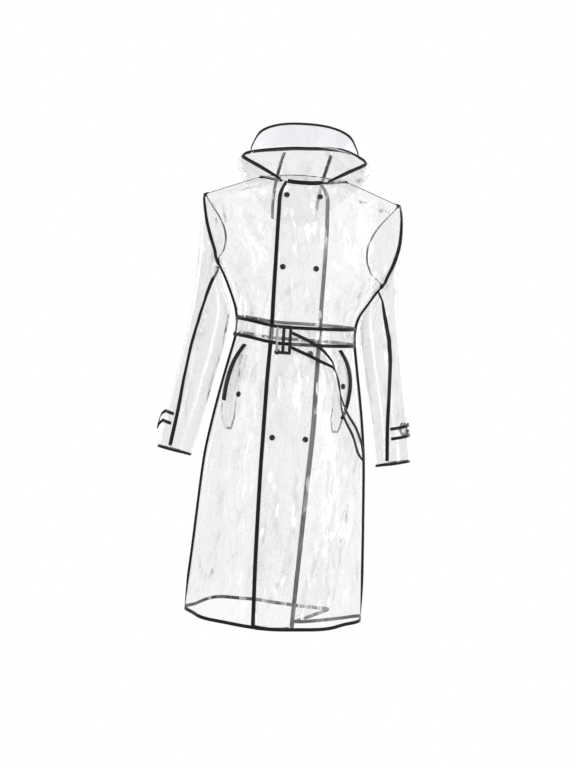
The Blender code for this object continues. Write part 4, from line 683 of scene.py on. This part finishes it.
# ---------------------------------------------------------------- pockets
# A rounded bag of doubled film hangs inside each front from a slanted mouth, sewn round its edge. A narrow flap
# of the same film, bound on its edges, is stitched along the mouth and lies over it.
BAG_WALL = 0.0045                 # the most that lies between a bag's two skins
BAG_SEAM, BAG_FOOT = 0.0045, -0.545    # the width of the marked seam, and where it shows most
FOOT_MARK, SIDE_MARK = 2.0, 0.4
for name in ("left", "right"):
    for part in ("bag", "flap"):
        panel = keep_skin(merged_copy("pocket_%s_%s" % (part, name), "pocket_%s_film_%s" % (part, name)),
                          away_from_body, BAG_WALL, turn=0.3)
        refine(panel, 3 if part == "bag" else 2)
        if part == "bag":
            points = positions(panel.data)
            to_rim = np.linalg.norm(points - nearest_on_rim(points, panel), axis=1)
            mark_points(panel.data, "crease",
                        np.where(points[:, 2] < BAG_FOOT, FOOT_MARK, SIDE_MARK) * (to_rim < BAG_SEAM))
        dress(panel, still_film, "film", "pocket_%s_%s" % (part, name))


# ---------------------------------------------------------------- belt and straps
# The belt, its hanging end and the cuff straps are single strips of the same film, bound on both edges. The
# belt is drawn tight at the waist and its loose end twists as it hangs. Each cuff strap lies round its sleeve.
BELT_TILT = 0.012                 # how much higher the belt rides at the wearer's right hip
TILT_FROM, TILT_RUN = -0.030, 0.110


def tilt_belt(points):
    points = points.copy()
    points[:, 2] += BELT_TILT * eased(np.clip((TILT_FROM - points[:, 0]) / TILT_RUN, 0.0, 1.0))
    return points


for node, outward in (("belt", away_from_body), ("belt_end", away_from_body),
                      ("cuff_strap_left", away_from_arm(1.0)), ("cuff_strap_right", away_from_arm(-1.0))):
    strip = keep_skin(merged_copy(node, node + "_film"), outward)
    if node == "belt":
        put_positions(strip.data, tilt_belt(positions(strip.data)))
    refine(strip, 2)
    dress(strip, film, "film", node)


# ---------------------------------------------------------------- bindings
# Black woven tape, 9 mm wide when folded. It is folded over every raw edge and sewn down, and over the seams it
# is laid on the two edges that stand folded up under it, so it looks bolder there.
def binding_tape():
    """Folded black polyester tape: a fine rib across it and a dull sheen along the fold."""
    material, tree = new_material("folded_polyester_binding")
    place = add_node(tree, "ShaderNodeTexCoord").outputs["Object"]
    fuzz = add_node(tree, "ShaderNodeTexNoise", inputs={
        "Vector": place, "Scale": 1.0 / 0.004, "Detail": 2.0, "Roughness": 0.6}).outputs[0]
    wave = add_node(tree, "ShaderNodeTexNoise", inputs={
        "Vector": place, "Scale": 1.0 / 0.030, "Detail": 2.0, "Roughness": 0.5}).outputs[0]
    bump = add_node(tree, "ShaderNodeBump", inputs={"Strength": 0.5, "Distance": 0.0004, "Height": fuzz})
    bump = add_node(tree, "ShaderNodeBump", inputs={
        "Strength": 0.6, "Distance": 0.0015, "Height": wave, "Normal": bump.outputs[0]})
    tone = add_node(tree, "ShaderNodeMix", {"data_type": "RGBA"}, {
        "Factor": wave, "A": linear("080809"), "B": linear("151416")}).outputs["Result"]
    rough = add_node(tree, "ShaderNodeMapRange", inputs={0: fuzz, 1: 0.3, 2: 0.7, 3: 0.38, 4: 0.62}).outputs[0]
    tape = add_node(tree, "ShaderNodeBsdfPrincipled", inputs={
        "Base Color": tone, "Roughness": rough, "IOR": 1.5, "Specular IOR Level": 0.16,
        "Normal": bump.outputs[0]})
    add_node(tree, "ShaderNodeOutputMaterial", inputs={"Surface": tape.outputs[0]})
    return material


binding = binding_tape()


def narrow(points, share, *films):
    """Draws a tape in to this share of its width, towards the film's edge that it is folded on."""
    places = nearest_on_rim(points, *films)
    return places + (points - places) * share


TAPE_WALL = 0.0014                # the most that lies between a tape's two faces


def stand_proud(points, along_seam, lift):
    """Pulls out the outer face of a seam's tape, where the two raw edges stand folded up under it."""
    moved = points.copy()
    row = np.nonzero(along_seam)[0]
    for i in row:
        for j in row:
            apart = points[i] - points[j]
            if i != j and apart @ apart < TAPE_WALL ** 2 and apart @ lift[i] > 1e-7:
                moved[i] = points[i] + lift[i]
    return moved


def unit(vectors):
    return vectors / np.maximum(np.linalg.norm(vectors, axis=1), 1e-9)[:, None]


# how far the folded edges stand up under each tape
SIDE_STAND, ARMHOLE_STAND, SHOULDER_STAND, NECK_STAND, OPENING_STAND = 0.0054, 0.0062, 0.0006, 0.0062, 0.0055
# shares of the solids' widths, where the tape is folded tighter
EDGE_WIDTH, HEM_WIDTH, CUFF_WIDTH, PEAK_WIDTH = 0.86, 0.72, 0.55, 0.55
REAR_ARMHOLE_WIDTH, REAR_NECK_WIDTH, REAR_OPENING_WIDTH = 0.5, 0.4, 0.8
ARMHOLE_RIM, NECK_RIM, OPENING_RIM = 0.0054, 0.0046, 0.0036    # how near the film's edge a tape's middle is
SIDE_TOPS = {1.0: (0.0045, 0.0040), -1.0: (-0.0055, 0.0075)}   # across and up, to the foot of each armhole
HEM_TOP, TAPER_RUN = -1.064, 0.05
SHOULDER_END, END_OUT, END_DOWN = 0.215, 0.0085, -0.0030       # the shoulder's tape goes on over the sleeve
PANELS = (front_outer, front_under, back)


def shape_tape(node, points):
    """What is done to one tape, before its facets are rounded."""
    zero = np.zeros(len(points))
    side = np.sign(points[:, 0])
    if node.startswith("side_seam"):
        stand = SIDE_STAND * np.clip((points[:, 2] - HEM_TOP) / TAPER_RUN, 0.02, 1.0)
        top = (points[:, 2] > points[:, 2].max() - 0.003)[:, None]
        across, up = SIDE_TOPS[side[0]]
        points = points + top * np.array([across, 0.0, up])
        return stand_proud(points, np.abs(points[:, 1]) < 0.001, np.stack([side * stand, zero, zero], 1))
    if node.startswith("shoulder_seam"):
        points = points.copy()
        points[np.abs(points[:, 0]) > SHOULDER_END] += (END_OUT * side[0], 0.0, END_DOWN)
        up = np.stack([zero, zero, zero + SHOULDER_STAND], 1)
        return stand_proud(points, np.abs(points[:, 1]) < 0.001, up)
    if node.startswith("armhole"):
        behind = points[:, 1] > 0.004
        places = nearest_on_rim(points, *PANELS)
        near = np.linalg.norm(points - places, axis=1) < ARMHOLE_RIM
        forward = np.clip(points[:, 1] / 0.025, -0.7, 0.7)
        out = unit(np.stack([0.8 * side, forward, zero], 1))
        fuller_below = np.interp(points[:, 2], (-0.20, -0.11), (1.1, 0.6))
        out *= (np.where(behind, 0.4, fuller_below) * ARMHOLE_STAND)[:, None]
        moved = stand_proud(points, near, out)
        slim = places + (moved - places) * REAR_ARMHOLE_WIDTH
        return np.where(behind[:, None], slim, moved)
    if node == "neck_tape":
        for side_of, free_edge in FREE_EDGES.values():
            points = round_corner(points, side_of, free_edge)
        places = nearest_on_rim(points, *PANELS)
        near = np.linalg.norm(points - places, axis=1) < NECK_RIM
        front = np.clip(-points[:, 1] / 0.02, 0.0, 1.0)
        out = unit(np.stack([zero, -0.35 * (points[:, 1] < 0.0), zero + 1.0], 1))
        moved = stand_proud(points, near, out * (NECK_STAND * front)[:, None])
        slim = places + (moved - places) * REAR_NECK_WIDTH
        return np.where((points[:, 1] > 0.02)[:, None], slim, moved)
    if node.startswith("cuff_tape"):
        return narrow(drop_cuff(points), CUFF_WIDTH, sleeves[node.split("_")[-1]])
    if node == "brim_edge_tape":
        return narrow(drop_peak_ends(points), PEAK_WIDTH, peak)
    if node == "hood_opening_tape":
        points = settle_rim(points)
        places = nearest_on_rim(points, *hood.values())
        near = np.linalg.norm(points - places, axis=1) < OPENING_RIM
        front = np.clip((0.02 - points[:, 1]) / 0.03, 0.0, 1.0)
        out = np.array([[0.0, -0.55, 0.83]]) * (OPENING_STAND * front)[:, None]
        moved = stand_proud(points, near, out)
        slim = places + (moved - places) * REAR_OPENING_WIDTH
        return np.where((points[:, 1] > 0.02)[:, None], slim, moved)
    if node.startswith("hood_seam"):
        return settle_rim(points)
    if node.startswith("front"):
        key = node.split("_")[1]
        return narrow(round_corner(points, *FREE_EDGES[key]), EDGE_WIDTH,
                      front_outer if key == "outer" else front_under)
    if node == "hem_tape_back":
        points = settle_hem(points)
    if node.startswith("hem"):
        panel = {"outer": front_outer, "under": front_under, "back": back}[node.split("_")[2]]
        return narrow(points, HEM_WIDTH, panel)
    if node.startswith("belt_tape"):
        return tilt_belt(points)
    if node.startswith("sleeve_seam"):
        return bend_in(points, node.split("_")[-1])
    return points


SEAM_TOP = -0.1434                # top of a sleeve's seam before it is turned in
# heights along the turned part, and how far from the coat's middle the seam is there, above the first
SEAM_LINES = {"left": ((-0.42, -0.38, -0.35, -0.30, -0.251), (0.2312, 0.2258, 0.2130, 0.2012)),
              "right": ((-0.43, -0.35, -0.285, -0.25, -0.224), (0.2325, 0.2165, 0.2050, 0.1930))}
ARM_MIDDLE_Y = 0.045              # the seam stays on the sleeve's front, ahead of this


def bend_in(points, name):
    """Turns the top of a sleeve's seam in to the foot of the armhole, lying on the front of the sleeve."""
    arm = bmesh.new()
    arm.from_mesh(sleeves[name].data)
    tree = BVHTree.FromBMesh(arm)
    arm.free()
    side = math.copysign(1.0, points[0, 0])
    middle_at = np.poly1d(np.polyfit(points[:, 2], np.abs(points[:, 0]), 6))
    heights, line = SEAM_LINES[name]
    line = (float(middle_at(heights[0])),) + line
    moved = []
    for point in points:
        place, out = tree.find_nearest(Vector(point))[:2]
        proud = (Vector(point) - place).dot(out)
        z, x = point[2], point[0]
        if z > heights[0]:
            z = heights[0] + (z - heights[0]) * (heights[-1] - heights[0]) / (SEAM_TOP - heights[0])
            x += side * float(np.interp(z, heights, line) - middle_at(point[2]))
            spot, facing = tree.ray_cast(Vector((x, -0.2, z)), Vector((0.0, 1.0, 0.0)))[:2]
            if spot is not None and spot.y < ARM_MIDDLE_Y:
                place, out = spot, facing * (-1.0 if facing.y > 0.0 else 1.0)
            else:
                place, out = tree.find_nearest(Vector((x, 0.0, z)))[:2]
        moved.append(place + out * proud)
    return np.array([tuple(p) for p in moved])


FOLD_ANGLE, FOLD_CRISPNESS = math.radians(38.0), 0.72


def soft_tape(node):
    """The tape's solid with its facets rounded along its length and its folded edges kept crisp."""
    piece = merged_copy(node, node.replace("tape", "binding"))
    put_positions(piece.data, shape_tape(node, positions(piece.data)))
    cloth = bmesh.new()
    cloth.from_mesh(piece.data)
    bmesh.ops.join_triangles(cloth, faces=cloth.faces[:], angle_face_threshold=math.radians(35.0),
                             angle_shape_threshold=math.radians(60.0))
    sharp = cloth.edges.layers.float.new("crease_edge")
    for edge in cloth.edges:
        if len(edge.link_faces) == 2 and edge.calc_face_angle() > FOLD_ANGLE:
            edge[sharp] = FOLD_CRISPNESS
    cloth.to_mesh(piece.data)
    cloth.free()
    refine(piece, 2, 0.7)
    return dress(piece, binding, "binding", node)


bindings = {node: soft_tape(node) for node in sorted(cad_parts) if "tape" in node}


# ---------------------------------------------------------------- snaps
# Press snaps with brass caps, 14 mm across, drawn with a rolled rim and a shallow dish and lacquered black. Each
# is riveted through the film. Eight are on the fronts, one on each pocket and one on the left cuff strap.
def lacquered_snap():
    """Black enamel on a pressed brass cap: smooth and glossy, a little duller in places."""
    material, tree = new_material("black_lacquered_brass_snap")
    place = add_node(tree, "ShaderNodeTexCoord").outputs["Object"]
    grain = add_node(tree, "ShaderNodeTexNoise", inputs={
        "Vector": place, "Scale": 1.0 / 0.002, "Detail": 2.0}).outputs[0]
    rough = add_node(tree, "ShaderNodeMapRange", inputs={0: grain, 1: 0.3, 2: 0.7, 3: 0.2, 4: 0.36}).outputs[0]
    lacquer = add_node(tree, "ShaderNodeBsdfPrincipled", inputs={
        "Base Color": linear("0B0B0C"), "Roughness": rough, "IOR": 1.5, "Specular IOR Level": 0.3,
        "Coat Weight": 0.15, "Coat Roughness": 0.08})
    add_node(tree, "ShaderNodeOutputMaterial", inputs={"Surface": lacquer.outputs[0]})
    return material


lacquer = lacquered_snap()
# radius and height of each ring of the cap, from its foot to its middle
SNAP_RINGS = ((0.0066, 0.0), (0.0070, 0.0005), (0.0070, 0.0011), (0.0065, 0.0016), (0.0056, 0.0020),
              (0.0050, 0.0019), (0.0046, 0.0016), (0.0030, 0.0014), (0.0012, 0.0015))
bpy.ops.object.select_all(action="DESELECT")
bpy.ops.mesh.primitive_circle_add(vertices=32, radius=SNAP_RINGS[0][0], fill_type="NGON")
snap_pattern = bpy.context.object
bpy.ops.object.mode_set(mode="EDIT")
bpy.ops.mesh.select_all(action="SELECT")
bpy.ops.mesh.flip_normals()
ring, level = SNAP_RINGS[0]
for radius, height in SNAP_RINGS[1:]:
    bpy.ops.mesh.extrude_region_move(TRANSFORM_OT_translate={"value": (0.0, 0.0, height - level)})
    bpy.ops.transform.resize(value=(radius / ring, radius / ring, 1.0))
    ring, level = radius, height
bpy.ops.object.mode_set(mode="OBJECT")
cap = bmesh.new()
cap.from_mesh(snap_pattern.data)
bmesh.ops.recalc_face_normals(cap, faces=cap.faces[:])
cap.to_mesh(snap_pattern.data)
cap.free()
for node in sorted(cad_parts):
    if node.startswith("snap"):
        points = positions(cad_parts[node].data)
        middle = points.mean(0)
        spread = np.linalg.svd(points - middle, full_matrices=False)[2]
        axis = Vector(spread[2])
        outward = away_from_arm(1.0) if node == "snap_cuff_left" else away_from_body
        if axis.dot(outward(Vector(middle))) < 0.0:
            axis = -axis
        depth = (points - middle) @ np.array(axis)
        snap = bpy.data.objects.new(node + "_cap", snap_pattern.data.copy())
        bpy.context.scene.collection.objects.link(snap)
        snap.data.transform(Matrix.Translation(Vector(middle) + axis * float(depth.min()))
                            @ axis.to_track_quat("Z", "Y").to_matrix().to_4x4())
        snap.data.polygons.foreach_set("use_smooth", [True] * len(snap.data.polygons))
        dress(snap, lacquer, "snap", node)
bpy.data.objects.remove(snap_pattern)


# ---------------------------------------------------------------- buckle
# A slider of moulded black plastic, flat and open, with rounded edges. A bright steel roller runs down one of its
# sides, and the belt is drawn through behind it.
def moulded_plastic():
    """Injection-moulded black acetal: an even satin with faint flow marks."""
    material, tree = new_material("moulded_black_acetal")
    place = add_node(tree, "ShaderNodeTexCoord").outputs["Object"]
    flow = add_node(tree, "ShaderNodeTexNoise", inputs={
        "Vector": place, "Scale": 1.0 / 0.006, "Detail": 3.0}).outputs[0]
    rough = add_node(tree, "ShaderNodeMapRange", inputs={0: flow, 1: 0.3, 2: 0.7, 3: 0.26, 4: 0.42}).outputs[0]
    bump = add_node(tree, "ShaderNodeBump", inputs={"Strength": 0.3, "Distance": 0.0002, "Height": flow})
    body = add_node(tree, "ShaderNodeBsdfPrincipled", inputs={
        "Base Color": linear("0D0D0E"), "Roughness": rough, "IOR": 1.48, "Specular IOR Level": 0.3,
        "Normal": bump.outputs[0]})
    add_node(tree, "ShaderNodeOutputMaterial", inputs={"Surface": body.outputs[0]})
    return material


def turned_steel():
    """Nickel-plated steel tube, brushed round its length by the lathe."""
    material, tree = new_material("nickel_plated_steel")
    place = add_node(tree, "ShaderNodeTexCoord").outputs["Object"]
    rings = add_node(tree, "ShaderNodeTexNoise", inputs={
        "Vector": place, "Scale": 1.0 / 0.003, "Detail": 2.0}).outputs[0]
    rough = add_node(tree, "ShaderNodeMapRange", inputs={0: rings, 1: 0.3, 2: 0.7, 3: 0.2, 4: 0.34}).outputs[0]
    metal = add_node(tree, "ShaderNodeBsdfPrincipled", inputs={
        "Base Color": linear("8E9094"), "Metallic": 1.0, "Roughness": rough})
    add_node(tree, "ShaderNodeOutputMaterial", inputs={"Surface": metal.outputs[0]})
    return material


acetal, nickel = moulded_plastic(), turned_steel()
for node, material, slot, edge, fuller in (("buckle", acetal, "buckle", 0.0016, 0.0017),
                                           ("buckle_roller", nickel, "steel", 0.0008, 0.0011)):
    part = merged_copy(node, node + "_body")
    put_positions(part.data, positions(part.data) + normals(part.data) * (fuller, 0.2 * fuller, fuller))
    apply_modifier(part, "BEVEL", width=edge, segments=3, limit_method="ANGLE", angle_limit=math.radians(40.0))
    bpy.ops.object.shade_smooth_by_angle(angle=math.radians(35.0))
    dress(part, material, slot, node)
